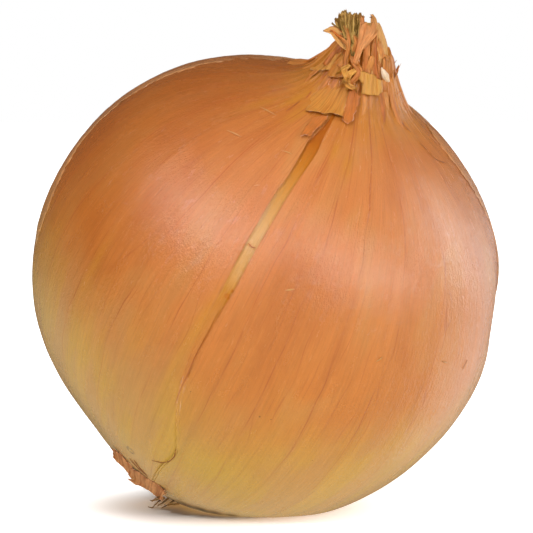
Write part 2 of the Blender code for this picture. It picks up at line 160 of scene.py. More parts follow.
def skin(latitude, azimuth):
    """Points of the bulb's surface, ribs and neck pleats included."""
    latitude, azimuth = np.broadcast_arrays(np.asarray(latitude, float), np.asarray(azimuth, float))
    a, b = np.radians(latitude), np.radians(azimuth)
    out = smooth_through(BULB_PROFILE, latitude)
    for middle, spread, amount in LOPSIDED:
        out = out + amount * bell(latitude - middle, spread) * np.cos(b)
    for middle, turn, spread, depth in HOLLOWS:
        out = out - depth * bell(degrees_between(latitude, azimuth, middle, turn), spread)
    across = out * np.cos(a)
    rise = np.where(latitude > 50, smooth_through(NECK_RISE, np.minimum(across, NECK_RISE[-1][0])), 0)
    neck = np.clip(rise / NECK_TOP, 0, 1)
    ridge = 0.5 + 0.5 * np.cos(2 * np.pi * vein_phase(azimuth))
    rib = (RIB_BASE + RIB_HEIGHT * ridge**3) * np.cos(a)
    fine = sum(depth * np.sin(waves * b + sway * np.sin(slow * b)) for depth, waves, sway, slow in FINE_WAVES)
    pleat = PLEAT_DEPTH * (ridge - 0.5) * neck + FINE_PLEATS * fine * neck**0.6 * eased(62, 76, latitude)
    across = across + rib * np.cos(a) + pleat
    tilt = across * (NECK_TILT[0] * np.cos(b) + NECK_TILT[1] * np.sin(b)) * neck**2
    height = (out + rib) * np.sin(a) + rise + tilt
    x = across * np.cos(b) + NECK_SHIFT[0] * neck
    y = across * np.sin(b) + NECK_SHIFT[1] * neck
    return np.stack([x, y, height], axis=-1)


def skin_normal(latitude, azimuth):
    step = 0.3
    up = skin(latitude + step, azimuth) - skin(latitude - step, azimuth)
    round_it = skin(latitude, azimuth + 4 * step) - skin(latitude, azimuth - 4 * step)
    normal = np.cross(round_it, up)
    return normal / np.linalg.norm(normal, axis=-1, keepdims=True)


def above_skin(latitude, azimuth, proud):
    """Points that stand a distance off the bulb, along its normal."""
    return skin(latitude, azimuth) + np.asarray(proud)[..., None] * skin_normal(latitude, azimuth)


TURN = np.array(Euler((LEAN_FORWARD, LEAN_RIGHT, 0)).to_matrix())
FRONT = np.array([0, -1, 0]) @ TURN


def standing(points):
    """From the onion's frame to the frame that it lies in."""
    return np.asarray(points) @ TURN.T + BULB_CENTRE


def leaning(points):
    return (np.asarray(points) - BULB_CENTRE) @ TURN


def lift_to(points, floor, blend):
    """Moves what is below a height up to it, rounding off over the blend."""
    placed = standing(points)
    height = placed[..., 2] - floor
    rounded = (height + blend) ** 2 / (4 * blend)
    height = np.where(height > blend, height, np.where(height < -blend, 0, rounded))
    placed[..., 2] = height + floor
    return leaning(placed)


def growth_on_bulb(latitude, azimuth):
    """Millimetres round the bulb and along its meridians, for a grain that runs from root to neck."""
    b = np.radians(azimuth)
    along = np.radians(latitude) * BULB_RADIUS
    return np.stack(np.broadcast_arrays(BULB_RADIUS * np.cos(b), BULB_RADIUS * np.sin(b), along), axis=-1)


def tone(red, green, blue):
    """Linear colour of an sRGB value from 0 to 255."""
    shares = (value / 255 for value in (red, green, blue))
    return tuple(s / 12.92 if s < 0.04045 else ((s + 0.055) / 1.055) ** 2.4 for s in shares)


class Graph:
    """A node tree, and short words for its nodes."""

    def __init__(self, tree):
        self.tree = tree

    def add(self, kind, values, **settings):
        """A new node with its settings, values and links."""
        made = self.tree.nodes.new(kind)
        for name, value in settings.items():
            setattr(made, name, value)
        for name, value in values.items():
            if isinstance(value, bpy.types.NodeSocket):
                self.tree.links.new(value, made.inputs[name])
            else:
                made.inputs[name].default_value = value
        return made

    def out(self, kind, values, output=0, **settings):
        """The first output, or another one, of a new node."""
        return self.add(kind, values, **settings).outputs[output]

    def math(self, operation, *values, **settings):
        return self.out("ShaderNodeMath", dict(enumerate(values)), operation=operation, **settings)

    def vector_math(self, operation, output, values):
        return self.out("ShaderNodeVectorMath", values, output, operation=operation)

    def ramp(self, value, low, high, first=0.0, last=1.0, **settings):
        """A straight ramp from first to last as the value goes from low to high."""
        values = {"Value": value, "From Min": low, "From Max": high, "To Min": first, "To Max": last}
        return self.out("ShaderNodeMapRange", values, **settings)


class Finish(Graph):
    """A material, with short words for its nodes."""

    def __init__(self, name, roughness=0.5):
        self.material = bpy.data.materials.new(name)
        self.material.use_nodes = True
        super().__init__(self.material.node_tree)
        self.shader = self.tree.nodes["Principled BSDF"]
        self.shader.inputs["Roughness"].default_value = roughness

    def field(self, name, output="Fac"):
        return self.out("ShaderNodeAttribute", {}, output, attribute_name=name)

    def place(self):
        return self.out("ShaderNodeTexCoord", {}, "Object")

    def scaled(self, vector, scale, shift=(0, 0, 0)):
        return self.out("ShaderNodeMapping", {"Vector": vector, "Scale": scale, "Location": shift})

    def noise(self, vector, scale=1.0, detail=2.0, roughness=0.5, distortion=0.0):
        values = {"Vector": vector, "Scale": scale, "Detail": detail}
        return self.out("ShaderNodeTexNoise", {**values, "Roughness": roughness, "Distortion": distortion})

    def grain(self, growth, scale, shift=(0, 0, 0), **settings):
        """Noise stretched along the growth of a skin or leaf."""
        return self.noise(self.scaled(growth, scale, shift), **settings)

    def step(self, value, low, high, first=0.0, last=1.0):
        """A soft step from first to last as the value goes from low to high."""
        return self.ramp(value, low, high, first, last, interpolation_type="SMOOTHSTEP")

    def times(self, first, second):
        return self.math("MULTIPLY", first, second)

    def mix(self, share, first, second, blend="MIX"):
        made = self.add("ShaderNodeMix", {0: share}, data_type="RGBA", blend_type=blend)
        for socket, value in ((made.inputs[6], first), (made.inputs[7], second)):
            if isinstance(value, bpy.types.NodeSocket):
                self.tree.links.new(value, socket)
            else:
                socket.default_value = (*value, 1)
        return made.outputs[2]

    def shaded(self, colour, value, low, high):
        """The colour made darker or lighter, from low to high as the value goes from 0 to 1."""
        return self.mix(1.0, colour, self.step(value, 0.0, 1.0, low, high), "MULTIPLY")

    def bump(self, height, millimetres, normal=None):
        values = {"Height": height, "Distance": millimetres * MM, "Strength": 1.0}
        if normal is not None:
            values["Normal"] = normal
        return self.out("ShaderNodeBump", values)

    def wire(self, **sockets):
        """Sets or links the shader's sockets, with _ for a space, and gives the material."""
        for name, value in sockets.items():
            socket = self.shader.inputs[name.replace("_", " ")]
            if isinstance(value, bpy.types.NodeSocket):
                self.tree.links.new(value, socket)
            else:
                socket.default_value = value
        return self.material


# Colours of the skin and the roots
COPPER = tone(203, 121, 48)
# Pink painted sheen, laid on the skin where the two highlights fall
SHEEN_PINK = tone(209, 130, 78)
STRAW = tone(206, 158, 72)
TAN = tone(203, 151, 88)
GREENISH = tone(204, 164, 56)
OCHRE = tone(203, 132, 42)
# Reddish brown of blotches and cracks, also painted as shade on the upper left limb
RUSSET = tone(176, 88, 30)
# Dark brown of a small mark, also painted as shade on the upper left limb towards the back
UMBER = tone(150, 84, 32)
VEIN_RED = tone(172, 86, 40)
PALE_FIBRE = tone(226, 160, 104)
# Pale pink of the skin's bloom, with painted sheen, at the upper right
PALE_BLOOM_SHEEN = tone(232, 184, 158)
# Pale paper of the thin loose skin, also painted brighter at its torn edges as light through it
PAPER = tone(232, 186, 134)
KNOT = tone(190, 104, 4)
OLD_SCAR = tone(120, 74, 24)
SPECK = tone(136, 84, 34)
# Dark of the dried roots, also painted as shade on the skin near the resting spot
ROOT_DARK_AND_SHADE = tone(58, 36, 14)
ROOT_PALE = tone(142, 104, 58)

# The bare strip in the slit: its colours by latitude, from the root end to the neck
STRIP_TONES = (
    (-32, tone(203, 152, 84)), (-12, tone(198, 142, 66)), (8, tone(194, 132, 44)), (17, tone(196, 124, 24)),
    (24, tone(206, 148, 74)), (33, tone(210, 158, 94)), (44, tone(200, 140, 66)), (54, tone(192, 116, 26)),
    (64, tone(178, 94, 12)),
)

# Small marks on the skin: latitude, azimuth, radius in millimetres and colour
SKIN_MARKS = (
    (17.7, -99.1, 0.75, KNOT), (19.3, -98.6, 0.45, KNOT), (64.6, -101.0, 0.35, UMBER),
    (31.8, -101.1, 0.22, OLD_SCAR), (-5.8, -79.8, 0.22, SPECK), (-5.5, -77.1, 0.14, SPECK),
    (-7.3, -96.9, 0.16, SPECK), (-37.3, -110.4, 0.5, GREENISH), (-39.2, -107.8, 1.25, OLD_SCAR),
    (-39.2, -107.7, 0.8, STRAW), (-40.4, -106.9, 0.3, OLD_SCAR), (-14.0, -62.0, 0.15, SPECK),
    (33.0, 40.0, 0.2, SPECK), (-20.0, 120.0, 0.25, SPECK), (12.0, 170.0, 0.2, SPECK),
    (-28.0, 20.0, 0.2, SPECK),
)


def skin_grain(finish, growth):
    """Fine fibres, broad streaks and a soft blotch, all running from root to neck."""
    fibre = finish.grain(growth, (2.8, 2.8, 0.15), detail=4.0, roughness=0.62)
    streak = finish.grain(growth, (0.55, 0.55, 0.03), detail=3.0)
    blotch = finish.grain(growth, (0.09, 0.09, 0.05), detail=3.0, distortion=0.6)
    return fibre, streak, blotch


def vein_lines(finish, growth, colour):
    """Thin broken red lines along the veins, and fainter ones between them."""
    apart = finish.add("ShaderNodeSeparateXYZ", {0: finish.field("vein", "Vector")}).outputs
    share = finish.times(finish.math("ARCTAN2", apart[1], apart[0]), 0.5 / math.pi)
    wander = finish.step(finish.grain(growth, (0.11, 0.11, 0.05), detail=2.0), 0.2, 0.8, -0.09, 0.09)
    off_vein = finish.math("ABSOLUTE", finish.math("ADD", share, wander))
    broken = finish.grain(growth, (0.35, 0.35, 0.11), detail=3.0)
    line = finish.step(finish.times(off_vein, apart[2]), 0.04, 0.17, 1.0, 0.0)
    line = finish.times(line, finish.step(broken, 0.36, 0.6, 0.08, 0.65))
    faint = finish.step(finish.field("straw"), 0.1, 0.9, 1.0, 0.45)
    line = finish.times(line, faint)
    shadow = finish.step(finish.times(off_vein, apart[2]), 0.1, 1.0, 0.04, 0.0)
    colour = finish.mix(shadow, colour, VEIN_RED)
    colour = finish.mix(line, colour, VEIN_RED)
    for lines, shift, strength in ((3.0, 0.9, 0.42), (5.0, 1.7, 0.3)):
        drift = finish.grain(growth, (0.16, 0.16, 0.07), (7 * shift, 0, 0), detail=1.0)
        turned = finish.math("ADD", finish.times(share, lines), finish.times(drift, 1.6))
        part = finish.math("FRACT", turned)
        nearest = finish.math("MINIMUM", part, finish.math("SUBTRACT", 1.0, part))
        fine = finish.step(finish.times(finish.times(nearest, apart[2]), 1 / lines), 0.02, 0.16, 1.0, 0.0)
        seen = finish.grain(growth, (0.45, 0.45, 0.09), (0, 9 * shift, 0), detail=2.0)
        fine = finish.times(fine, finish.times(faint, finish.step(seen, 0.46, 0.68, 0.0, strength)))
        colour = finish.mix(fine, colour, VEIN_RED)
    return colour


def strip_colour(finish, fibre):
    """The bare skin in the slit, from golden brown at the neck to straw at the roots."""
    low, high = STRIP_TONES[0][0], STRIP_TONES[-1][0]
    height = finish.math("ADD", finish.field("latitude"), finish.step(fibre, 0.0, 1.0, -6.0, 6.0))
    ramp = finish.add("ShaderNodeValToRGB", {0: finish.ramp(height, low, high)})
    stops = ramp.color_ramp.elements
    while len(stops) < len(STRIP_TONES):
        stops.new(0.5)
    for stop, (latitude, colour) in zip(stops, STRIP_TONES):
        stop.position = (latitude - low) / (high - low)
        stop.color = (*colour, 1)
    return finish.shaded(ramp.outputs[0], fibre, 0.8, 1.18)


def small_marks(finish, colour):
    """Specks, scars and the knot, each within its radius of a place on the skin."""
    place = finish.place()
    ragged = finish.noise(place, 2600.0, 2.0)
    for latitude, azimuth, radius, mark in SKIN_MARKS:
        middle = standing(skin(latitude, azimuth)) * MM
        away = finish.vector_math("DISTANCE", "Value", {0: place, 1: middle})
        reach = finish.math("ADD", away, finish.times(ragged, radius * MM))
        share = finish.step(reach, 0.95 * radius * MM, 1.55 * radius * MM, 0.85, 0.0)
        colour = finish.mix(share, colour, mark)
    return colour


def bulb_skin_finish():
    """Thin shining skin: copper above, straw and greenish below, veined and streaked along its growth, with
    sheen and shade painted in places.
    """
    finish = Finish("onion_skin", 0.3)
    growth = finish.field("growth", "Vector")
    fibre, streak, blotch = skin_grain(finish, growth)
    # Painted sheen: the skin turns pink round the two highlights
    colour = finish.mix(finish.field("highlight_sheen"), COPPER, SHEEN_PINK)
    colour = finish.mix(finish.step(blotch, 0.48, 0.68, 0.0, 0.3), colour, RUSSET)
    colour = finish.mix(finish.step(blotch, 0.5, 0.3, 0.0, 0.3), colour, TAN)
    # Painted shade: the upper left limb darker
    colour = finish.mix(finish.field("left_limb_shade"), colour, RUSSET)
    colour = finish.mix(finish.field("ochre"), colour, OCHRE)
    patches = finish.grain(growth, (0.2, 0.2, 0.05))
    straw = finish.mix(finish.step(patches, 0.4, 0.62), TAN, STRAW)
    straw = finish.mix(finish.field("green"), straw, GREENISH)
    colour = finish.mix(finish.field("straw"), colour, straw)
    # Painted shade: the upper left limb darker towards the back
    colour = finish.mix(finish.field("umber"), colour, UMBER)
    # Painted shade: the skin dark between the flaps and the resting spot
    colour = finish.mix(finish.field("contact_shade"), colour, ROOT_DARK_AND_SHADE)
    colour = finish.shaded(colour, streak, 0.92, 1.08)
    colour = finish.shaded(colour, fibre, 0.88, 1.12)
    colour = vein_lines(finish, growth, colour)
    dash = finish.grain(growth, (3.6, 3.6, 0.5), (3, 1, 2), detail=2.0)
    colour = finish.mix(finish.step(dash, 0.62, 0.8, 0.0, 0.4), colour, PALE_FIBRE)
    # Bloom with painted sheen: a pale pink film at the upper right
    hazy_sheen = finish.times(finish.field("bloom_and_sheen"), finish.step(dash, 0.3, 0.65, 0.25, 0.8))
    colour = finish.mix(hazy_sheen, colour, PALE_BLOOM_SHEEN)
    # Pale paper of the loose skin, brighter at its torn edges as painted light through it
    papery = finish.times(finish.field("paper"), finish.step(fibre, 0.3, 0.7, 0.6, 1.0))
    colour = finish.mix(papery, colour, PAPER)
    colour = finish.mix(finish.field("bare"), colour, strip_colour(finish, fibre))
    colour = small_marks(finish, colour)
    height = finish.math("ADD", finish.times(fibre, 0.7), finish.times(streak, 0.5))
    normal = finish.bump(height, 0.1)
    speckle = finish.grain(growth, (2.1, 2.1, 1.3), (5, 2, 8), detail=3.0, roughness=0.75)
    normal = finish.bump(speckle, 0.15, normal)
    wear = finish.grain(growth, (0.5, 0.5, 0.2), (2, 6, 1), detail=3.0)
    gloss = finish.step(wear, 0.3, 0.7, 0.19, 0.28)
    gloss = finish.math("MINIMUM", gloss, finish.step(speckle, 0.52, 0.6, 0.3, 0.07))
    # The skin goes matt where its shade is painted
    gloss = finish.math("MAXIMUM", gloss, finish.field("contact_shade"))
    return finish.wire(Base_Color=colour, Normal=normal, Roughness=gloss, Specular_IOR_Level=0.7)


# The skin's mesh: degrees between its rows, finer from the neck up, and columns between veins and in the slit
NECK_FROM = 60.0
BODY_STEP = 1.2
NECK_STEP = 0.7
VEIN_STEPS = 12
SLIT_FLOOR_STEPS = 5
# Depth at which the slit's lips stand up in full, and how far in degrees its floor runs in below them
SLIT_FULL_DEPTH = 0.3
SLIT_TUCK = 0.12


def bulb_rows():
    body = np.arange(-88.0, NECK_FROM, BODY_STEP)
    neck = np.arange(NECK_FROM, THROAT_LATITUDE - 0.3, NECK_STEP)
    return np.concatenate([body, neck, [THROAT_LATITUDE]])


def bulb_columns(latitude):
    """Azimuths of one row's columns, from the slit's left lip right round the bulb, and their depths."""
    left = float(smooth_through(SLIT_LEFT, latitude))
    right = float(smooth_through(SLIT_RIGHT, latitude))
    depth = max(float(straight_through(SLIT_DEPTH, latitude)), 0.0)
    gape = min(depth / SLIT_FULL_DEPTH, 1)
    tuck = SLIT_TUCK * gape
    floor = np.linspace(left - tuck, right + tuck, SLIT_FLOOR_STEPS)
    turns = [left, *floor, right]
    depths = [-SLIT_LIP * gape, *[depth] * SLIT_FLOOR_STEPS, -0.5 * SLIT_LIP * gape]
    bounds = [right, *VEINS[SLIT_VEIN + 1 :], *(VEINS[:SLIT_VEIN] + 360), left + 360]
    for here, following in zip(bounds[:-1], bounds[1:]):
        shares = np.arange(VEIN_STEPS) / VEIN_STEPS
        steps = here + shares * (following - here)
        turns += list(steps[1:] if here == right else steps)
    return np.array(turns), np.array(depths + [0.0] * (len(turns) - len(depths)))


def ring_faces(rows, columns):
    here = np.arange(rows - 1)[:, None] * columns + np.arange(columns)
    beside = np.arange(rows - 1)[:, None] * columns + (np.arange(columns) + 1) % columns
    return np.stack([here, beside, beside + columns, here + columns], axis=-1).reshape(-1, 4)


def finished(piece, slot, *nodes):
    """Rides the piece on the one body, and lets it stand for its CAD nodes. slot is not used."""
    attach(piece, "root")
    if nodes:
        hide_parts(*nodes)


def dress(name, part, material, slot, *nodes):
    """Makes a smooth piece in the lying frame from a part: points in millimetres, faces and named fields."""
    points, faces, fields = part
    mesh = bpy.data.meshes.new(name)
    placed = standing(points) * MM
    mesh.from_pydata([tuple(point) for point in placed], [], [tuple(map(int, face)) for face in faces])
    for field, values in fields.items():
        values = np.asarray(values, np.float32)
        vector = values.ndim == 2
        made = mesh.attributes.new(field, "FLOAT_VECTOR" if vector else "FLOAT", "POINT")
        made.data.foreach_set("vector" if vector else "value", values.ravel())
    mesh.materials.append(material)
    mesh.shade_smooth()
    piece = bpy.data.objects.new(name, mesh)
    bpy.context.scene.collection.objects.link(piece)
    finished(piece, slot, *nodes)


def relief(points, scale, seed):
    """Smooth noise from -1 to 1 at each point."""
    shift = Vector((seed * 7.3, seed * 3.1, seed * 5.7))
    flat = points.reshape(-1, 3) * scale
    return np.array([noise.noise(Vector(point) + shift) for point in flat]).reshape(points.shape[:-1])


# Azimuth, and the latitude below which the skin turns straw-coloured
STRAW_LIMIT = ((-270, -12), (-180, -4), (-150, -2), (-130, -8), (-91, -15), (-63, -17), (-40, -7), (0, -5),
               (90, -12), (270, -8))


# Painted shade where the skin lies dark by the flaps and the floor, from the flaps to the resting spot:
# latitude, azimuth, degrees, strength
SHADE_NEAR_REST = (
    (-66.0, -88.0, 5.2, 1.0), (-61.5, -84.0, 5.0, 1.0), (-57.5, -80.0, 4.8, 1.0), (-55.0, -74.5, 4.2, 1.0),
    (-52.6, -69.5, 3.6, 0.95), (-50.4, -64.5, 3.0, 0.9), (-48.8, -59.0, 2.5, 0.7),
)


# Golden streaks: their half width in degrees, then latitude, azimuth, length in degrees and strength
STREAK_WIDTH = 1.3
OCHRE_STREAKS = (
    (62.9, -89.7, 4, 0.7), (60, -81.5, 4, 0.8), (67, -121, 5, 0.8), (63, -140, 5, 0.5), (70, -133, 5, 0.9),
    (6.1, -133.5, 6, 0.5), (9, -101.5, 8, 0.8), (0, -103, 9, 0.7), (55, 30, 6, 0.6), (50, 120, 6, 0.6),
)


def zone_fields(latitude, azimuth, points):
    """Where the skin is straw, greenish and ochre, with bloom and painted sheen at the upper right, painted
    pink sheen round the highlights, and painted shade on the upper left limb and near the resting spot, from
    0 to 1.
    """
    drift = 7 * relief(points, 0.035, 1) + 3 * relief(points, 0.12, 2) + 2 * relief(points, 0.4, 7)
    limit = smooth_through(STRAW_LIMIT, azimuth)

    def near(middle, turn, spread):
        return bell(degrees_between(latitude, azimuth, middle, turn), spread)

    made = {
        "straw": eased(limit + 21, limit - 13, latitude + drift),
        "green": near(-30, -88, 15) * (0.65 + 0.5 * relief(points, 0.09, 3)),
        # Painted sheen round the left and the right highlight
        "highlight_sheen": near(34, -114, 24) + 0.7 * near(40, -50, 28),
        "ochre": 0.7 * eased(68, 80, latitude + drift),
        # Painted shade on the upper left limb
        "left_limb_shade": 0.75 * near(34, -170, 34) * (0.8 + 0.5 * relief(points, 0.06, 5)),
        # Painted shade on the upper left limb, towards the back
        "umber": 0.6 * near(46, 166, 38) * (0.8 + 0.5 * relief(points, 0.05, 8)),
        # Bloom with painted sheen at the upper right
        "bloom_and_sheen": 0.5 * near(50, -33, 11),
        # Painted shade between the flaps and the resting spot
        "contact_shade": np.max([share * near(middle, turn, spread) for middle, turn, spread, share in SHADE_NEAR_REST],
                       axis=0),
    }
    for middle, turn, spread, share in OCHRE_STREAKS:
        across = ((azimuth - turn + 180) % 360 - 180) * np.cos(np.radians(latitude))
        made["ochre"] = made["ochre"] + share * bell(latitude - middle, spread) * bell(across, STREAK_WIDTH)
    return {name: np.clip(values, 0, 1) for name, values in made.items()}


def skin_fields(latitude, azimuth, points):
    """What the skin's finish reads: its zones, its growth, and its place between the veins."""
    fields = zone_fields(latitude, azimuth, points)
    fields["growth"] = growth_on_bulb(latitude, azimuth)
    fields["latitude"] = latitude
    phase = vein_phase(azimuth)
    gap = np.interp(phase, np.arange(len(VEINS)) + 0.5, np.diff(VEIN_EDGES))
    gap = np.radians(gap) * BULB_RADIUS * np.cos(np.radians(np.clip(latitude, -88, 86)))
    fields["vein"] = np.stack([np.cos(2 * np.pi * phase), np.sin(2 * np.pi * phase), gap], axis=-1)
    return fields


def bulb_skin():
    """The outer skin, torn open down the slit, over the skin below it."""
    latitudes = bulb_rows()
    turns, depths = map(np.array, zip(*(bulb_columns(latitude) for latitude in latitudes)))
    latitude = np.broadcast_to(latitudes[:, None], turns.shape)
    points = skin(latitude, turns)
    outward = points / np.linalg.norm(points, axis=-1, keepdims=True)
    swell = 0.09 * relief(points, 0.07, 4) + 0.03 * relief(points, 0.3, 6)
    points = points + (swell - depths)[..., None] * outward
    rings = []
    around = np.radians(turns[-1])
    for radius, height in THROAT_RINGS:
        tilt = radius * (NECK_TILT[0] * np.cos(around) + NECK_TILT[1] * np.sin(around))
        rings.append(np.stack([radius * np.cos(around), radius * np.sin(around), tilt + height], axis=1))
        rings[-1][:, :2] += NECK_SHIFT
    rows = lift_to(np.concatenate([points, rings]), 0, FLAT_BLEND)
    count, columns = rows.shape[:2]
    faces = ring_faces(count, columns).tolist()
    for tip, row, turned in ((0, 0, True), (1, count - 1, False)):
        for column in range(columns):
            fan = (count * columns + tip, row * columns + column, row * columns + (column + 1) % columns)
            faces.append(fan[::-1] if turned else fan)
    poles = np.array([skin(-90.0, 0.0), (*NECK_SHIFT, THROAT_FLOOR)])

    def spread(values, ends):
        """One value a point: the rings repeat the last row, and the poles have their own."""
        values = np.concatenate([values, values[-1:], values[-1:]])
        return np.concatenate([values.reshape(-1, *values.shape[2:]), ends])

    flat = rows.reshape(-1, 3)
    full_latitude = spread(latitude, [-90, 90])
    full_turns = spread(turns, [0, 0])
    fields = skin_fields(full_latitude, full_turns, np.concatenate([flat, poles]))
    bare = np.zeros_like(turns)
    bare[:, 1 : 1 + SLIT_FLOOR_STEPS] = eased(0.0, 0.16, depths[:, 1 : 1 + SLIT_FLOOR_STEPS])
    fields["bare"] = spread(bare, [0, 0])
    return np.concatenate([flat, poles]), faces, fields


def path_through(points, count, curve=straight_through):
    """Evenly spaced places on a path through points: straight from one to the next, or a smooth curve."""
    points = np.asarray(points, float)
    steps = np.append(0, np.cumsum(np.linalg.norm(np.diff(points, axis=0), axis=1)))
    shares = np.linspace(0, steps[-1], count)
    return np.stack([curve(np.column_stack([steps, column]), shares) for column in points.T], axis=1)


# How thin a sheet is at its edges, as a share of its thickness
EDGE_THINNING = 0.35


def walled(grid, thickness, fields):
    """A closed thin sheet through a grid of points, thinner at its edges: points, faces and fields."""
    along, across = np.gradient(grid, axis=0), np.gradient(grid, axis=1)
    normal = np.cross(across, along)
    normal /= np.linalg.norm(normal, axis=-1, keepdims=True) + 1e-9
    rows, columns = grid.shape[:2]
    half = np.full((rows, columns, 1), thickness / 2 * EDGE_THINNING)
    half[1:-1, 1:-1] = thickness / 2
    count = rows * columns
    points = np.concatenate([(grid + normal * half).reshape(-1, 3), (grid - normal * half).reshape(-1, 3)])
    here = (np.arange(rows - 1)[:, None] * columns + np.arange(columns - 1)).ravel()
    outer = np.stack([here, here + 1, here + columns + 1, here + columns], axis=1)
    index = np.arange(count).reshape(rows, columns)
    loop = np.concatenate([index[0], index[1:, -1], index[-1, -2::-1], index[-2:0:-1, 0]])
    after = np.roll(loop, -1)
    rim = np.stack([after, loop, loop + count, after + count], axis=1)
    faces = np.concatenate([outer, outer[:, ::-1] + count, rim])
    doubled = {}
    for name, values in fields.items():
        rest = np.shape(values)[2:]
        values = np.broadcast_to(values, (rows, columns) + rest).reshape(count, *rest)
        doubled[name] = np.concatenate([values, values])
    return points, faces, doubled


def joined(parts):
    """Several sheets as the points, faces and fields of one piece."""
    points, faces, shift = [], [], 0
    for part_points, part_faces, _ in parts:
        points.append(part_points)
        faces += (np.asarray(part_faces) + shift).tolist()
        shift += len(part_points)
    names = parts[0][2].keys()
    fields = {name: np.concatenate([part[2][name] for part in parts]) for name in names}
    return np.concatenate(points), faces, fields


# How far from an edge a patch curls up and is torn, as a share of its size
CURL_REACH = 0.16
TEAR_REACH = 0.07


def torn_patch(bottom, top, lifts, left=(), right=(), base=0.16, rows=18, columns=26, ragged=0.5,
               thickness=0.14, tint=0.5, paper=None, seed=1):
    """Loose skin over the bulb between four edges, each a list of (latitude, azimuth).

    Bottom and top run left to right. Left and right run upwards between their ends. lifts says how far
    each edge curls up, in millimetres, and ragged how far the tears wander, in degrees of latitude. A
    patch with a share of paper white, paler still at its torn edges as painted light through the thin
    skin, is dressed in the bulb's own finish.
    """
    s, t = np.linspace(0, 1, columns)[None, :, None], np.linspace(0, 1, rows)[:, None, None]
    low, high = path_through(bottom, columns)[None], path_through(top, columns)[None]
    near = path_through((bottom[0], *left, top[0]), rows)[:, None]
    far = path_through((bottom[-1], *right, top[-1]), rows)[:, None]
    corners = (1 - s) * (1 - t) * low[:, :1] + s * (1 - t) * low[:, -1:]
    corners = corners + (1 - s) * t * high[:, :1] + s * t * high[:, -1:]
    places = (1 - t) * low + t * high + (1 - s) * near + s * far - corners
    share = {"left": s[..., 0], "right": 1 - s[..., 0], "bottom": t[..., 0], "top": 1 - t[..., 0]}
    points = skin(places[..., 0], places[..., 1])
    rough = relief(points, 0.9, seed) + 0.6 * relief(points, 2.3, seed + 1)
    wide = relief(points, 0.35, seed + 2)
    proud = np.full((rows, columns), base)
    torn = np.zeros((rows, columns))
    for edge, lift in lifts.items():
        closeness = np.exp(-share[edge] / CURL_REACH)
        proud = proud + lift * closeness * (1 + 0.5 * wide)
        torn = np.maximum(torn, np.exp(-share[edge] / TEAR_REACH))
    stretch = 1 / np.cos(np.radians(np.clip(places[..., 0], -80, 80)))
    latitude = places[..., 0] + ragged * rough * torn
    azimuth = places[..., 1] + ragged * relief(points, 1.1, seed + 3) * torn * stretch
    proud = proud + 0.05 * relief(points, 0.8, seed + 4) + 0.02
    grid = above_skin(latitude, azimuth, proud)
    growth = growth_on_bulb(latitude, azimuth) + (0, 0, 3.0 * seed)
    fields = {"growth": growth, "tint": np.array(tint), "tip": torn}
    if paper is not None:
        fields = skin_fields(latitude, azimuth, grid)
        # The torn edges grow paler, as painted light through the thin skin
        fields["paper"] = np.clip(paper + 0.35 * torn, 0, 1)
    return walled(grid, thickness, fields)


def seen(*places):
    """Points by their places right of, behind and above the throat's middle, as seen from the front."""
    return np.array([*NECK_SHIFT, THROAT_TOP]) + np.array(places, float) @ TURN


def on_skin(*places):
    """Points by latitude, azimuth and distance off the skin."""
    latitude, azimuth, proud = np.array(places, float).T
    return above_skin(latitude, azimuth, proud)


def leaf_end(path, widths, facing=FRONT, cup=0.0, turn=0.0, grooves=0.05, ragged=0.12,
             crumple=0.06, thickness=0.12, tint=0.5, columns=9, rows=24, seed=1):
    """A dried leaf end: a ribbon along a path, cupped across, grooved by its fibres, with a torn tip.

    facing is where the front of the ribbon looks, and turn how many degrees the ribbon twists along
    its length. ragged is the share of its length that the tears take, and crumple how far it is creased.
    """
    draw = random.Random(seed)
    knots = path_through(path, rows, smooth_through)
    share = np.linspace(0, 1, rows)
    width = smooth_through(np.column_stack([np.linspace(0, 1, len(widths)), widths]), share)
    forward = np.gradient(knots, axis=0)
    forward /= np.linalg.norm(forward, axis=1, keepdims=True)
    aside = np.cross(forward, facing)
    aside /= np.linalg.norm(aside, axis=1, keepdims=True)
    face = np.cross(aside, forward)
    angle = np.radians(turn) * share[:, None]
    aside, face = aside * np.cos(angle) + face * np.sin(angle), face * np.cos(angle) - aside * np.sin(angle)
    s = np.linspace(-1, 1, columns)
    fibres = grooves * np.sin(s * draw.uniform(7, 10) + draw.uniform(0, 6))
    fibres = fibres + 0.5 * grooves * np.sin(s * 17 + seed)
    rise = cup * width[:, None] * s**2 + fibres
    across = (s * width[:, None] / 2)[..., None] * aside[:, None]
    grid = knots[:, None] + across + rise[..., None] * face[:, None]
    torn = np.array([draw.uniform(0, 1) ** 1.5 * ragged for _ in range(columns)])
    for column in range(columns):
        reach = share * (1 - torn[column])
        grid[:, column] = np.stack([np.interp(reach, share, axis) for axis in grid[:, column].T], axis=1)
    creased = crumple * share[:, None] ** 0.6 * (relief(grid, 0.9, seed) + 0.5 * relief(grid, 2.1, seed + 3))
    grid = grid + creased[..., None] * face[:, None]
    length = np.linalg.norm(np.diff(knots, axis=0), axis=1).sum()
    grain = (s * width.mean() / 2 + 5.0 * seed, 3.0 * seed, share[:, None] * length)
    growth = np.stack(np.broadcast_arrays(*grain), -1)
    return walled(grid, thickness, {"growth": growth, "tint": np.array(tint), "tip": share[:, None]})


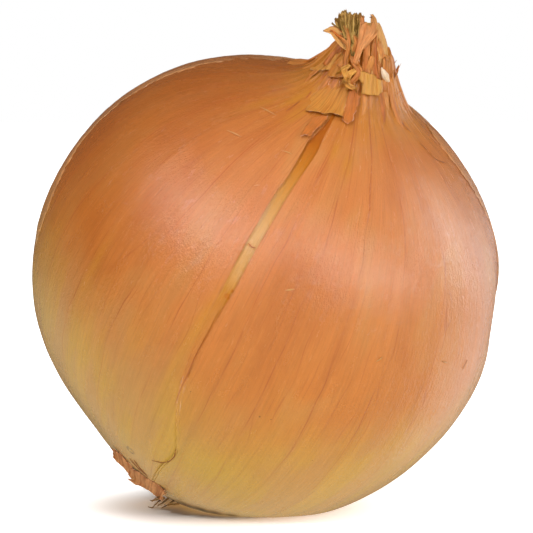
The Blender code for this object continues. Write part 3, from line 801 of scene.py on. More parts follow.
# Colours of the dried leaf ends, flakes and flaps
OLIVE_DARK = tone(124, 92, 24)
OLIVE_PALE = tone(210, 168, 92)
PALE_STRAW = tone(222, 166, 96)
ORANGE_LEAF = tone(196, 112, 46)
LEAF_BROWN = tone(146, 84, 22)
LEAF_SALMON = tone(216, 144, 84)
NECK_ORANGE = tone(212, 138, 66)
NECK_BROWN = tone(180, 96, 28)
INNER_PALE = tone(240, 214, 188)
WORN_EDGE = tone(232, 190, 168)
OCHRE_FLAKE = tone(208, 142, 60)
OCHRE_FLAKE_DARK = tone(190, 112, 34)
RUSSET_FLAKE = tone(200, 114, 44)
STRAW_FLAKE = tone(208, 150, 62)
FLAP_DARK = tone(168, 98, 54)
FLAP_RED = tone(214, 152, 108)
FLAP_EDGE = tone(232, 188, 146)


def dried_leaf_finish(name, dark, light, roughness=0.7, tips=LEAF_BROWN, tip_share=0.3, white=0.0):
    """Papery leaf: fibres in two tones, darker torn tips, and a pale worn edge where white is above 0."""
    finish = Finish(name, roughness)
    growth = finish.field("growth", "Vector")
    fibre = finish.grain(growth, (4.5, 4.5, 0.25), detail=3.0, roughness=0.65)
    streak = finish.grain(growth, (1.6, 1.6, 0.1), detail=1.0)
    stain = finish.grain(growth, (0.9, 0.9, 0.7), detail=3.0)
    share = finish.math("ADD", finish.field("tint"), finish.step(streak, 0.3, 0.7, -0.4, 0.4))
    colour = finish.mix(finish.step(share, 0.0, 1.0), dark, light)
    colour = finish.shaded(colour, fibre, 0.62, 1.3)
    worn = finish.step(finish.field("tip"), 0.75, 1.0)
    colour = finish.mix(finish.times(worn, tip_share), colour, tips)
    if white:
        edge = finish.step(finish.field("tip"), 0.8, 0.97)
        pale = finish.times(edge, finish.step(stain, 0.45, 0.6, 0.0, white))
        colour = finish.mix(pale, colour, WORN_EDGE)
    colour = finish.shaded(colour, stain, 0.8, 1.15)
    normal = finish.bump(finish.math("ADD", fibre, finish.times(stain, 0.4)), 0.12)
    return finish.wire(Base_Color=colour, Normal=normal, Roughness=roughness)


# Olive leaf ends in the throat: tip right of and above its middle, how far back it stands, width, tint
OLIVE_BLADES = (
    (-4.3, 5.2, -2.6, 0.9, 0.30), (-3.9, 5.8, -3.0, 0.8, 0.62), (-3.3, 6.3, -2.4, 0.7, 0.15),
    (-3.0, 5.6, -3.1, 0.9, 0.48), (-2.5, 5.9, -2.2, 0.8, 0.10), (-2.1, 5.6, -3.0, 0.9, 0.70),
    (-1.6, 5.7, -2.2, 1.0, 0.22), (-1.2, 5.5, -3.0, 0.8, 0.45), (-0.7, 5.8, -2.3, 1.0, 0.05),
    (-0.3, 5.4, -2.6, 0.9, 0.35), (-3.6, 5.2, -0.8, 1.6, 0.50), (-2.2, 5.5, -0.4, 1.9, 0.25),
    (-0.8, 5.4, -0.2, 1.8, 0.40), (-3.4, 4.6, 1.2, 1.7, 0.60), (-1.8, 5.0, 1.8, 2.0, 0.30),
    (-0.1, 4.6, 1.9, 1.9, 0.55),
)
# The curl and the slivers that stand out to the left, from foot to tip
LEFT_CURL = ((-2.0, -4.2, -1.0), (-3.3, -3.9, -0.1), (-4.4, -3.5, 1.2), (-5.5, -3.2, 2.35), (-7.1, -3.0, 2.5))
LEFT_CURL_BACK = ((-1.9, -4.0, -0.6), (-3.0, -3.6, 1.0), (-4.2, -3.3, 2.0), (-5.6, -3.0, 2.9),
                  (-6.6, -2.9, 2.7))
LEFT_SLIVERS = (
    (((-2.6, -3.6, -0.6), (-3.9, -3.2, 2.2), (-5.6, -2.9, 4.05)), (0.7, 0.45, 0.3), 0.5, 32),
    (((-2.6, -3.4, -0.8), (-4.1, -3.0, 1.8), (-4.75, -2.9, 4.3)), (0.9, 0.6, 0.4), 0.95, 33),
    (((-2.2, -4.2, -0.6), (-3.1, -3.7, 1.8), (-3.9, -3.2, 4.4)), (0.8, 0.7, 0.35), 1.2, 34),
)


def neck_bundle():
    """The olive leaf ends in the throat, with the slivers at their left."""
    parts = []
    for number, (right, up, away, width, tint) in enumerate(OLIVE_BLADES):
        foot = -1.5 + 0.14 * (right + 2.2)
        front = away < -2
        path = seen(
            (foot, -4.9 if front else away, -1.9 if front else -2.6),
            (foot + 0.12 * (right - foot), -4.5 if front else away, 0.0),
            (foot + 0.62 * (right - foot), away - 0.5, 2.9),
            (right, away, up),
        )
        widths = (0.6 * width, 1.1 * width, 1.7 * width, 1.8 * width)
        parts.append(leaf_end(path, widths, cup=0.2, turn=32 * (-1) ** number, grooves=0.09,
                              ragged=0.06, crumple=0.45, tint=tint, columns=11, rows=30, seed=21 + number))
    for path, widths, tint, seed in LEFT_SLIVERS:
        parts.append(leaf_end(seen(*path), widths, cup=0.1, turn=20, grooves=0.03, ragged=0.05,
                              tint=tint, columns=5, rows=16, seed=seed))
    return joined(parts)


def left_curl():
    """The leaf ends that curl out to the left of the throat, bright inside and brown behind."""
    facing = np.array([0.3, -1, 0.5]) @ TURN
    return joined([
        leaf_end(seen(*LEFT_CURL), (1.0, 1.9, 2.0, 1.6, 0.25), facing, cup=0.3, ragged=0.04, crumple=0.2,
                 tint=0.95, seed=61),
        leaf_end(seen(*LEFT_CURL_BACK), (0.8, 1.2, 1.3, 1.1, 0.3), facing, cup=0.2, turn=20, ragged=0.1,
                 tint=-0.1, seed=62),
    ])


def fan_leaf():
    """The salmon leaf end that fans out in front of the bundle, rolled and twisted at its foot."""
    main = seen((-1.5, -5.9, -3.3), (-1.0, -5.8, -1.8), (-0.3, -5.3, 0.2), (0.7, -4.7, 2.3), (1.2, -4.3, 4.3))
    left = seen((-1.2, -5.6, -2.2), (-0.6, -5.2, 0.4), (-0.2, -4.6, 2.6), (-0.1, -4.0, 5.3))
    rim = seen((-0.2, -5.6, -0.6), (1.0, -5.3, 0.9), (2.1, -4.8, 2.1), (2.6, -4.4, 3.0))
    return joined([
        leaf_end(main, (0.9, 1.1, 1.4, 2.7, 2.9), cup=0.12, turn=10, ragged=0.16, crumple=0.2, tint=0.75,
                 columns=17, seed=41),
        leaf_end(left, (0.7, 0.8, 0.9, 0.6), cup=0.15, turn=-10, grooves=0.03, ragged=0.08, tint=0.3,
                 columns=7, seed=42),
        leaf_end(rim, (0.7, 0.9, 0.9, 0.4), cup=-0.15, turn=25, ragged=0.2, tint=1.1, columns=7, seed=43),
    ])


def curled_leaf():
    """The leaf ends that stand at the right of the throat, the tallest curling over at its tip."""
    above = ((2.5, -4.2, 0.2), (2.35, -3.6, 2.2), (2.05, -3.1, 4.0), (1.7, -2.8, 5.2), (1.1, -3.1, 5.1))
    outer = [*on_skin((79.5, -50, -0.2), (81.8, -50, 0.4)), *seen(*above)]
    edge = [*on_skin((80.5, -27, -0.2), (82.5, -27, 0.35)),
            *seen((3.9, -2.8, 0.4), (3.4, -2.5, 2.3), (2.8, -2.2, 4.3))]
    inner = [*on_skin((81.0, -68, 0.1), (83.0, -66, 0.4)),
             *seen((1.6, -4.5, 0.6), (1.5, -3.9, 2.2), (1.4, -3.4, 4.3))]
    back = seen((2.4, 1.6, -1.6), (2.6, 1.9, 0.8), (2.2, 2.0, 2.6), (1.5, 2.0, 4.0))
    right_front, right = np.array([[0.35, -1, 0], [1, -0.8, 0]]) @ TURN
    return joined([
        leaf_end(outer, (0.8, 2.2, 2.9, 2.7, 2.2, 1.5, 0.6), right_front, cup=-0.12,
                 grooves=0.07, ragged=0.05, tint=0.75, columns=13, seed=51),
        leaf_end(edge, (0.8, 2.0, 2.0, 1.5, 0.7), right, cup=-0.1, grooves=0.06, ragged=0.1,
                 tint=0.9, seed=54),
        leaf_end(inner, (0.9, 1.5, 1.6, 1.3, 0.8), cup=-0.12, turn=10, grooves=0.06, ragged=0.2,
                 tint=0.35, seed=52),
        leaf_end(back, (2.6, 2.6, 2.2, 1.4), cup=0.1, grooves=0.06, ragged=0.2, tint=0.4, seed=53),
    ])


# Strands of outer skin that run up over the throat's rim at the front: on the skin, then above the rim
FRONT_STRANDS = (
    (((80.4, -106, 0.5), (82.2, -110, 0.6)), ((-2.5, -4.8, 0.2), (-2.7, -4.3, 2.0), (-3.3, -3.6, 3.7)),
     (0.7, 0.8, 0.7, 0.6, 0.45), 0.6),
    (((79.2, -94.5, 0.7), (81.0, -91, 0.9), (82.5, -95, 0.8)), ((-1.1, -5.2, 0.5), (-1.6, -4.4, 2.0)),
     (0.7, 1.2, 1.3, 1.0, 0.6), 0.6),
    (((80.8, -118, 0.4), (82.3, -114, 0.5)), ((-2.6, -4.8, -0.1), (-3.5, -4.2, 0.9), (-4.2, -3.6, 1.5)),
     (1.2, 1.1, 0.9, 0.7, 0.4), 0.8),
    (((80.5, -72, 0.3), (82.6, -77, 0.45)), ((0.8, -5.1, 0.2), (1.2, -4.7, 1.7)), (1.4, 1.3, 1.2, 0.7), 0.7),
    (((80.2, -60, 0.25), (82.6, -63, 0.4)), ((1.9, -4.6, 0.3), (2.2, -4.0, 1.9)), (1.5, 1.4, 1.2, 0.6), 0.45),
    (((79.5, -47, 0.2), (82.4, -50, 0.35)), ((2.9, -4.2, 0.2), (3.0, -3.7, 1.5)), (1.6, 1.5, 1.1, 0.5), 0.8),
    (((80.0, -140, 0.2), (82.2, -136, 0.3)), ((-3.5, -2.9, 0.5), (-3.8, -2.6, 1.6)),
     (1.7, 1.5, 1.1, 0.5), 0.4),
)
SHEATH_RIBBONS = 34
# Azimuths that the sheath leaves free for the front strands
FREE_OF_SHEATH = (-114, -82)
COLLAR_SLIVERS = 18


def neck_sheath(draw):
    """Pleated outer skin that runs up the neck in ribbons and in over the throat's rim."""
    parts = []
    for index in range(SHEATH_RIBBONS):
        azimuth = -180 + 360 * (index + draw.uniform(-0.2, 0.2)) / SHEATH_RIBBONS
        sway = draw.uniform(-5, 5)
        if FREE_OF_SHEATH[0] < azimuth < FREE_OF_SHEATH[1]:
            continue
        b = math.radians(azimuth + 2 * sway)
        tall = draw.uniform(0.2, 1.3) + (1.2 if 0 < azimuth < 130 else 0)
        low = draw.uniform(72, 76.5)
        foot = on_skin((low, azimuth - sway, -0.35), (low + 2.5, azimuth, 0.02),
                       (81.0, azimuth, 0.12), (83.3, azimuth + sway, 0.2))
        top = [(*(np.array(NECK_SHIFT) + radius * np.array([math.cos(b), math.sin(b)])), THROAT_TOP + height)
               for radius, height in ((3.7, 0.35 * tall), (3.0, tall))]
        outward = np.array([math.cos(b), math.sin(b), 0.15])
        parts.append(leaf_end([*foot, *top], (0.3, 1.2, 1.6, 1.3, 1.0, 0.4), outward, cup=-0.14, ragged=0.2,
                              crumple=0.08, tint=draw.uniform(0.45, 0.85), rows=22, seed=100 + index))
    return parts


def neck_collar():
    """Torn outer skin round the neck: a loose layer at the rear right, the sheath and standing slivers."""
    skirt = torn_patch(
        bottom=((69.0, 72), (66.5, 120), (70.5, 165)),
        top=((82.3, 60), (82.6, 120), (82.3, 174)),
        left=((76, 66),),
        right=((76, 168),),
        lifts={"bottom": 0.2, "left": 0.2, "right": -0.25, "top": 0.0}, base=0.14, rows=26,
        columns=44, seed=61,
    )
    draw = random.Random(8)
    parts = [skirt, *neck_sheath(draw)]
    for number, (below, above, widths, tint) in enumerate(FRONT_STRANDS):
        path = [*on_skin(*below), *seen(*above)]
        parts.append(leaf_end(path, widths, cup=-0.15, turn=15 * (-1) ** number, grooves=0.06, crumple=0.15,
                              tint=tint, seed=140 + number))
    for index in range(COLLAR_SLIVERS):
        azimuth = -42 + 175 * (index + draw.uniform(0.1, 0.9)) / COLLAR_SLIVERS
        foot = on_skin((79.0, azimuth, 0.2), (81.0, azimuth, 0.5))
        outward = skin_normal(81.5, azimuth)
        outward[2] = 0
        tip = foot[-1] + (0, 0, draw.uniform(0.9, 2.0)) + 0.1 * outward
        wide = draw.uniform(0.35, 0.8)
        parts.append(leaf_end([*foot, tip], (wide, wide, 0.3 * wide), outward, cup=0.1,
                              grooves=0.03, ragged=0.3, tint=draw.uniform(0.8, 1.3), columns=5, rows=10,
                              seed=70 + index))
    return joined(parts)


def pale_fold():
    """A near-white piece that fills an oval gap at the right of the neck."""
    path = on_skin((82.0, -52, 0.5), (81.3, -44, 0.75), (80.5, -36, 0.5))
    return leaf_end(path, (0.4, 1.3, 0.5), cup=-0.2, grooves=0.03, ragged=0.05, rows=14, seed=66)


# Crumpled bits of skin between the flakes: places on the skin, widths and tint
CRUMPLED_BITS = (
    (((81.0, -112, 0.4), (80.2, -104, 1.0), (79.2, -99, 0.5)), (0.6, 1.2, 0.7), 0.4),
    (((81.3, -92, 0.5), (80.2, -95, 1.1), (79.0, -102, 0.5)), (0.7, 1.2, 0.8), 0.75),
    (((79.4, -105, 0.4), (78.8, -97, 1.0), (79.1, -89, 0.5)), (0.6, 1.0, 0.6), 0.2),
    (((78.4, -99, 0.4), (79.4, -94, 0.9), (80.9, -95, 0.8)), (0.5, 0.9, 0.5), 0.9),
    (((81.6, -106, 0.5), (80.6, -109, 0.9), (79.8, -118, 0.4)), (0.5, 0.9, 0.5), 0.6),
)


def crumpled_bits():
    parts = []
    for number, (places, widths, tint) in enumerate(CRUMPLED_BITS):
        parts.append(leaf_end(on_skin(*places), widths, cup=0.3, turn=40 * (-1) ** number, grooves=0.08,
                              ragged=0.2, crumple=0.5, tint=tint, rows=18, seed=160 + number))
    return joined(parts)


# Loose flakes of skin below the neck: edges as (latitude, azimuth), how far each edge curls up, and the tint
NECK_FLAKES = {
    "ochre_flake": dict(
        bottom=((69.0, -119.0), (69.4, -116.9), (70.1, -113.5), (71.0, -105.6),
                (72.0, -102.0), (72.6, -92.1)),
        right=((75.3, -93.3), (77.4, -93.6)),
        top=((77.2, -138.0), (78.2, -120.0), (78.7, -107.4), (78.4, -92.4)),
        left=((72.0, -125.5), (75.0, -132.0)),
        lifts={"bottom": 0.5, "right": 0.12, "left": -0.5, "top": -0.3}, rows=34, columns=60, ragged=0.35,
        tint=0.5, seed=1,
    ),
    "brown_flake": dict(
        bottom=((72.1, -92.5), (71.6, -88.0), (72.7, -83.4)),
        right=((74.6, -84.0), (76.2, -82.6)),
        top=((78.6, -94.0), (79.0, -88.0), (78.3, -82.0)),
        left=((75.3, -94.5),),
        lifts={"right": 0.35, "bottom": 0.1}, rows=26, columns=16, ragged=0.3, tint=0.2, seed=5,
    ),
    "pale_flake": dict(
        bottom=((78.6, -80.0), (78.8, -70.0), (79.0, -56.0)),
        right=((79.9, -53.5),),
        top=((81.2, -85.0), (81.4, -72.0), (80.8, -54.0)),
        left=((79.8, -82.0),),
        lifts={"bottom": 0.15, "right": 0.0, "top": 0.0, "left": 0.1}, base=0.6, rows=20, columns=26,
        ragged=0.22, tint=0.5, seed=9,
    ),
    "left_lobe": dict(
        bottom=((77.5, -156.5), (79.0, -141.0), (79.7, -133.5), (81.2, -121.0)),
        right=((82.2, -121.0),),
        top=((77.9, -163.0), (80.8, -150.0), (83.2, -126.0)),
        left=((77.5, -160.0),),
        lifts={"bottom": 0.25, "left": 0.0, "top": -0.15}, rows=20, columns=40, ragged=0.25,
        tint=0.8, seed=17,
    ),
    "inner_lobe": dict(
        bottom=((79.0, -129.0), (78.9, -122.0), (79.5, -114.0), (79.8, -108.0)),
        right=((81.3, -110.0),),
        top=((81.4, -124.0), (82.6, -121.0), (83.3, -114.0)),
        left=((79.9, -128.4),),
        lifts={"bottom": 0.4, "left": 0.2, "right": 0.2}, base=0.3, rows=22, columns=26, ragged=0.3,
        tint=0.3, seed=21,
    ),
    "slit_top_flake": dict(
        bottom=((61.2, -108.4), (62.4, -106.0), (62.2, -103.9)),
        right=((65.5, -104.5), (68.6, -103.0)),
        top=((68.6, -111.0), (70.6, -107.0), (71.1, -103.4)),
        left=((64.8, -110.2),),
        lifts={"bottom": 0.22, "right": 0.28}, rows=34, columns=18, ragged=0.3, tint=0.5, seed=25,
    ),
}

# Flaps round the roots: free edge and held edge, as (latitude, azimuth), and how far the free edge stands off
BASE_FLAPS = (
    (((-53, -119), (-55.5, -113), (-57.5, -108)),
     ((-47.8, -117.5), (-49.5, -111.9), (-52.3, -106.5)), 0.7, 0.5),
    (((-59.5, -109.5), (-59.5, -100), (-57, -91)), ((-51.5, -108), (-51.0, -100), (-50.0, -92)), 0.9, 0.5),
    (((-66, 150), (-68.5, 156), (-65.5, 162), (-67.5, 168), (-63, 173)),
     ((-59, 147), (-57, 161), (-57, 175)), 1.4, 0.9),
    (((-65, 101), (-69, 107), (-66.5, 114), (-69.5, 121), (-65, 128)),
     ((-57, 97), (-58, 112), (-60, 127)), 1.1, 0.9),
    (((-66.5, 50), (-69.5, 56), (-66, 63), (-68.5, 70), (-63.5, 77)),
     ((-60, 51), (-58.5, 64), (-57.5, 76)), 1.5, 0.9),
)


# Layers of loose outer skin at the right and at the rear left, dressed as the bulb
SKIN_LAYERS = {
    "right_skin_layer": dict(
        bottom=((27, -4), (20, 20), (12, 50), (16, 90)),
        right=((40, 92), (60, 92)),
        top=((73, 46), (75, 70), (76, 95)),
        left=((33, 3), (39.7, 8), (47.7, 7), (57, 5), (63.4, 6), (67, 13), (70.4, 30)),
        lifts={"left": -0.05, "bottom": 0.0, "right": 0.0, "top": -0.2}, base=0.06, rows=90,
        columns=70, ragged=1.3, thickness=0.1, paper=0.1, seed=201,
    ),
    "rear_left_skin_layer": dict(
        bottom=((-16, 118), (-13, 155), (-9, 196)),
        right=((0, 195), (7.6, 191), (14, 187), (23, 184), (31, 180), (38, 177), (49, 172), (58.7, 164)),
        top=((62, 118), (65, 138), (66, 156)),
        left=((22, 110),),
        lifts={"right": -0.05, "bottom": 0.0, "left": 0.0, "top": -0.1}, base=0.06, rows=90,
        columns=60, ragged=1.6, thickness=0.1, paper=0.14, seed=211,
    ),
}
# Pale chips lifted off the skin: both ends as (latitude, azimuth), and the width
SKIN_CHIPS = (
    ((50.1, -132.6), (51.4, -126.4), 0.3), ((61.2, -137.5), (62.7, -127.0), 0.28),
    ((55.1, -109.4), (55.6, -105.6), 0.2), ((24.7, -87.0), (25.9, -84.8), 0.3),
    ((15.4, -58.4), (16.9, -57.0), 0.22), ((16.4, -37.2), (15.8, -34.9), 0.26),
    ((13.0, -26.6), (15.2, -25.4), 0.24), ((43.0, -109.0), (43.9, -107.6), 0.2),
    ((30.0, 58.5), (31.0, 61.5), 0.3), ((41.0, 138.0), (42.0, 142.0), 0.3),
    ((-2.0, 100.0), (-1.0, 102.5), 0.25), ((52.0, 70.0), (53.0, 75.0), 0.25),
)
# Fine cracks and lifted edges in the skin, as (latitude, azimuth), with their width
SKIN_CRACKS = (
    (((-26, -94.4), (-29.9, -93.9), (-33, -95.0), (-35.4, -97.2), (-36.4, -99.8)), 0.2),
    (((75.4, -28.5), (72.5, -21.5)), 0.3), (((69.6, -20.0), (67.6, -17.0)), 0.26),
    (((66.8, -17.0), (64.4, -14.6), (62.3, -6.5)), 0.26),
    (((-45.5, -108.8), (-48.5, -105.0), (-49.6, -100.3)), 0.35),
    (((-44.0, -106.5), (-47.0, -104.5), (-48.8, -101.0)), 0.25),
    (((70.5, -129.0), (67.5, -127.5), (65.5, -127.0)), 0.3), (((74.5, -131.0), (72.0, -128.0)), 0.25),
    (((30.6, -100.9), (30.2, -99.5), (30.5, -98.6)), 0.25),
)


def skin_chips():
    parts = []
    for number, (first, last, width) in enumerate(SKIN_CHIPS):
        latitude, azimuth = np.mean((first, last), axis=0)
        path = on_skin((*first, 0.0), (latitude, azimuth, 0.1), (*last, 0.0))
        parts.append(leaf_end(path, (0.06, width, 0.06), skin_normal(latitude, azimuth),
                              cup=0.1, grooves=0.02, ragged=0.1, crumple=0.05, thickness=0.05, rows=12,
                              columns=5, seed=220 + number))
    return joined(parts)


def skin_cracks():
    parts = []
    for number, (places, width) in enumerate(SKIN_CRACKS):
        path = path_through(places, 9)
        middle = skin_normal(*path[4])
        lifted = on_skin(*[(*place, 0.05) for place in path])
        parts.append(leaf_end(lifted, (0.05, width, 0.7 * width, width, 0.05), middle,
                              grooves=0.01, ragged=0.0, crumple=0.03, thickness=0.06, rows=20, columns=5,
                              seed=240 + number))
    return joined(parts)


def base_flap(free, held, lift, tint, seed):
    """A torn flap of skin near the roots, held along its upper edge."""
    lifts = {"bottom": lift, "left": 0.3 * lift, "right": 0.3 * lift, "top": -0.4}
    points, faces, fields = torn_patch(
        free, held, lifts, base=0.4, rows=26, columns=44, ragged=1.5, thickness=0.16, tint=tint, seed=seed,
    )
    return lift_to(points, 0.5, FLAT_BLEND), faces, fields


def loose_skin(skin_finish):
    for name, layer in SKIN_LAYERS.items():
        dress(name, torn_patch(**layer), skin_finish, "bulb_skin")
    chip = dried_leaf_finish("pale_skin_chips", TAN, PALE_FIBRE, 0.45, tip_share=0.0)
    crack = dried_leaf_finish("dark_crack_edges", LEAF_BROWN, RUSSET, 0.6, tip_share=0.0)
    dress("skin_chips", skin_chips(), chip, "pale_flake")
    dress("skin_cracks", skin_cracks(), crack, "brown_flake")
    ochre = dried_leaf_finish("ochre_skin_flake", OCHRE_FLAKE_DARK, OCHRE_FLAKE, 0.55, white=0.5)
    brown = dried_leaf_finish("brown_skin_flake", RUSSET_FLAKE, ORANGE_LEAF, 0.5, white=0.9)
    pale = dried_leaf_finish("pale_skin_flake", OCHRE_FLAKE, STRAW_FLAKE, 0.5)
    red = dried_leaf_finish("base_flap_skin", FLAP_DARK, FLAP_RED, 0.7, tips=FLAP_EDGE, tip_share=0.6)
    dressed = {
        "ochre_flake": (ochre, "ochre_flake", "neck_flake_ochre"),
        "brown_flake": (brown, "brown_flake", "neck_flake_brown"),
        "pale_flake": (pale, "pale_flake", "neck_flake_pale"),
        "left_lobe": (ochre, "ochre_flake"),
        "inner_lobe": (ochre, "ochre_flake"),
        "slit_top_flake": (brown, "brown_flake"),
    }
    dress("twisted_flake", crumpled_bits(), pale, "pale_flake")
    for name, finish_slot_and_node in dressed.items():
        dress(name, torn_patch(**NECK_FLAKES[name]), *finish_slot_and_node)
    for number, (free, held, lift, tint) in enumerate(BASE_FLAPS, 1):
        flap = base_flap(free, held, lift, tint, 80 + 5 * number)
        dress(f"base_flap_{number}", flap, red, "base_flap", f"base_skin_flap_{number}")


# The shortest strand as a share of the longest, and how much thinner a strand's tip is than its foot
SHORTEST_STRAND = 0.45
STRAND_TAPER = 0.7


def strand_tree(material):
    """A tree that grows one bent, tapered strand from each point, along the point's heading."""
    tree = bpy.data.node_groups.new("dried_strands", "GeometryNodeTree")
    graph = Graph(tree)
    tree.interface.new_socket("Geometry", in_out="OUTPUT", socket_type="NodeSocketGeometry")
    kinds = {"Geometry": "Geometry", "Length": "Float", "Thickness": "Float", "Bend": "Float",
             "Curl": "Float", "Lowest": "Float", "Seed": "Int"}
    inputs = {name: tree.interface.new_socket(name, in_out="INPUT", socket_type="NodeSocket" + kind)
              for name, kind in kinds.items()}
    given = graph.add("NodeGroupInput", {}).outputs
    line = graph.out("GeometryNodeCurvePrimitiveLine", {"End": (0, 0, 1)})
    line = graph.out("GeometryNodeResampleCurve", {"Curve": line, "Count": 12})
    heading = graph.out("GeometryNodeInputNamedAttribute", {"Name": "heading"}, data_type="FLOAT_VECTOR")
    turned = graph.out("FunctionNodeAlignRotationToVector", {"Vector": heading}, axis="Z")
    share = graph.out("FunctionNodeRandomValue", {2: SHORTEST_STRAND, 3: 1.0, "Seed": given["Seed"]}, 1)
    length = graph.math("MULTIPLY", share, given["Length"])
    placed = {"Points": given["Geometry"], "Instance": line, "Rotation": turned, "Scale": length}
    copies = graph.out("GeometryNodeInstanceOnPoints", placed)
    copies = graph.out("GeometryNodeRealizeInstances", {"Geometry": copies})
    along = graph.out("GeometryNodeSplineParameter", {}, "Factor")
    place = graph.out("GeometryNodeInputPosition", {})
    wavy = {"Vector": place, "Scale": given["Curl"], "Detail": 1.5}
    wander = graph.out("ShaderNodeTexNoise", wavy, "Color")
    wander = graph.vector_math("SUBTRACT", 0, {0: wander, 1: (0.5, 0.5, 0.5)})
    amount = graph.math("MULTIPLY", graph.math("POWER", along, 1.4), given["Bend"])
    wander = graph.vector_math("SCALE", 0, {0: wander, "Scale": amount})
    copies = graph.out("GeometryNodeSetPosition", {"Geometry": copies, "Offset": wander})
    apart = graph.add("ShaderNodeSeparateXYZ", {0: graph.out("GeometryNodeInputPosition", {})}).outputs
    kept = graph.math("MAXIMUM", apart[2], given["Lowest"])
    kept = graph.out("ShaderNodeCombineXYZ", {0: apart[0], 1: apart[1], 2: kept})
    copies = graph.out("GeometryNodeSetPosition", {"Geometry": copies, "Position": kept})
    taper = graph.math("MULTIPLY", graph.math("MULTIPLY_ADD", along, -STRAND_TAPER, 1.0), given["Thickness"])
    profile = graph.out("GeometryNodeCurvePrimitiveCircle", {"Resolution": 5, "Radius": 1.0})
    tube = {"Curve": copies, "Profile Curve": profile, "Scale": taper, "Fill Caps": True}
    tubes = graph.out("GeometryNodeCurveToMesh", tube)
    tubes = graph.out("GeometryNodeSetShadeSmooth", {"Geometry": tubes})
    tubes = graph.out("GeometryNodeRealizeInstances", {"Geometry": tubes})
    tubes = graph.out("GeometryNodeSetMaterial", {"Geometry": tubes, "Material": material})
    graph.add("NodeGroupOutput", {"Geometry": tubes})
    return tree, {name: made.identifier for name, made in inputs.items()}


def grown(name, tree, names, starts, headings, **sizes):
    """Strands grown by the tree from start points and headings in the onion's frame, as a plain mesh."""
    mesh = bpy.data.meshes.new(name)
    mesh.from_pydata([tuple(point) for point in standing(starts) * MM], [], [])
    made = mesh.attributes.new("heading", "FLOAT_VECTOR", "POINT")
    made.data.foreach_set("vector", np.asarray(headings @ TURN.T, np.float32).ravel())
    piece = bpy.data.objects.new(name, mesh)
    bpy.context.scene.collection.objects.link(piece)
    modifier = piece.modifiers.new("strands", "NODES")
    modifier.node_group = tree
    for size, value in sizes.items():
        modifier[names[size]] = value
    graph = bpy.context.evaluated_depsgraph_get()
    plain = bpy.data.meshes.new_from_object(piece.evaluated_get(graph))
    piece.modifiers.remove(modifier)
    piece.data = plain
    return piece


def root_finish():
    finish = Finish("dried_roots", 0.85)
    place = finish.place()
    patch = finish.noise(place, 900.0, 3.0, 0.6)
    colour = finish.mix(finish.step(patch, 0.35, 0.65), ROOT_DARK_AND_SHADE, ROOT_PALE)
    normal = finish.bump(finish.noise(place, 4000.0, 2.0), 0.05)
    return finish.wire(Base_Color=colour, Normal=normal)


# The basal plate: latitude and height over the skin
PLATE_LEVELS = ((-88.5, 1.5), (-87, 1.45), (-85.5, 1.3), (-84.3, 1.0), (-83.5, 0.5), (-83.8, -0.3))


def basal_plate(material):
    """The rough woody plate that the roots grow from."""
    turns = np.linspace(0, 360, 40, endpoint=False)
    rows = np.array([above_skin(level, turns, np.full(40, proud)) for level, proud in PLATE_LEVELS])
    rows = rows + 0.25 * relief(rows, 0.9, 91)[..., None] * rows / BULB_RADIUS
    count, columns = rows.shape[:2]
    faces = ring_faces(count, columns)[:, ::-1].tolist()
    pole = count * columns
    faces += [(pole, column, (column + 1) % columns) for column in range(columns)]
    points = np.concatenate([rows.reshape(-1, 3), [skin(-90.0, 0.0) - (0, 0, 1.6)]])
    dress("basal_plate", (lift_to(points, 0.3, FLAT_BLEND), faces, {}), material, "dried_root", "root_tuft")


def root(draw):
    """Start and heading of a root that lies back along the bulb."""
    azimuth, latitude = draw.uniform(20, 150), -88.5 + 4.5 * draw.random()
    upward = skin(latitude + 2, azimuth) - skin(latitude, azimuth)
    upward /= np.linalg.norm(upward)
    heading = upward + draw.uniform(0.15, 0.6) * skin_normal(latitude, azimuth)
    return above_skin(latitude, azimuth, 1.0), heading


def whisker(draw):
    """Start and heading of a fine root that shows below the flaps."""
    latitude, azimuth = draw.uniform(-58, -54), draw.uniform(-94, -84)
    sideways = np.array([-1, 0.2, draw.uniform(-0.7, 0.1)]) @ TURN
    return above_skin(latitude, azimuth, 0.6), sideways + 0.5 * skin_normal(latitude, azimuth)


# What each bunch of strands gives the tree: the longest, its thickness, bend and lowest height in metres
ROOT_SIZES = dict(Length=0.013, Thickness=0.0004, Bend=0.009, Curl=160.0, Lowest=0.0006, Seed=3)
WHISKER_SIZES = dict(Length=0.0034, Thickness=0.00022, Bend=0.003, Curl=400.0, Lowest=0.0005, Seed=5)
# Each bunch's rule for a strand, how many there are, and their sizes
BUNCHES = {
    "root_strands": (root, 80, ROOT_SIZES),
    "front_whiskers": (whisker, 6, WHISKER_SIZES),
}


def roots():
    """The basal plate, its dried roots, and a few whiskers that show below the flaps."""
    material = root_finish()
    basal_plate(material)
    tree, names = strand_tree(material)
    draw = random.Random(21)
    for name, (rule, count, sizes) in BUNCHES.items():
        starts, headings = map(np.array, zip(*(rule(draw) for _ in range(count))))
        finished(grown(name, tree, names, starts, headings, **sizes), "dried_root")


# The floor's glow is lowest a little left of where the onion rests, under its roots, and so paints its
# darkest shade there
SHADE_SHIFT = (0.008, 0.0, 0.0)
# Its own light, dim near the onion so that it paints a shade round it: steps from one distance to another, in
# metres, and from one strength to another
FLOOR_GLOW = ((0.011, 0.032, 0.02, 0.85), (0.032, 0.2, 0.0, 0.3))


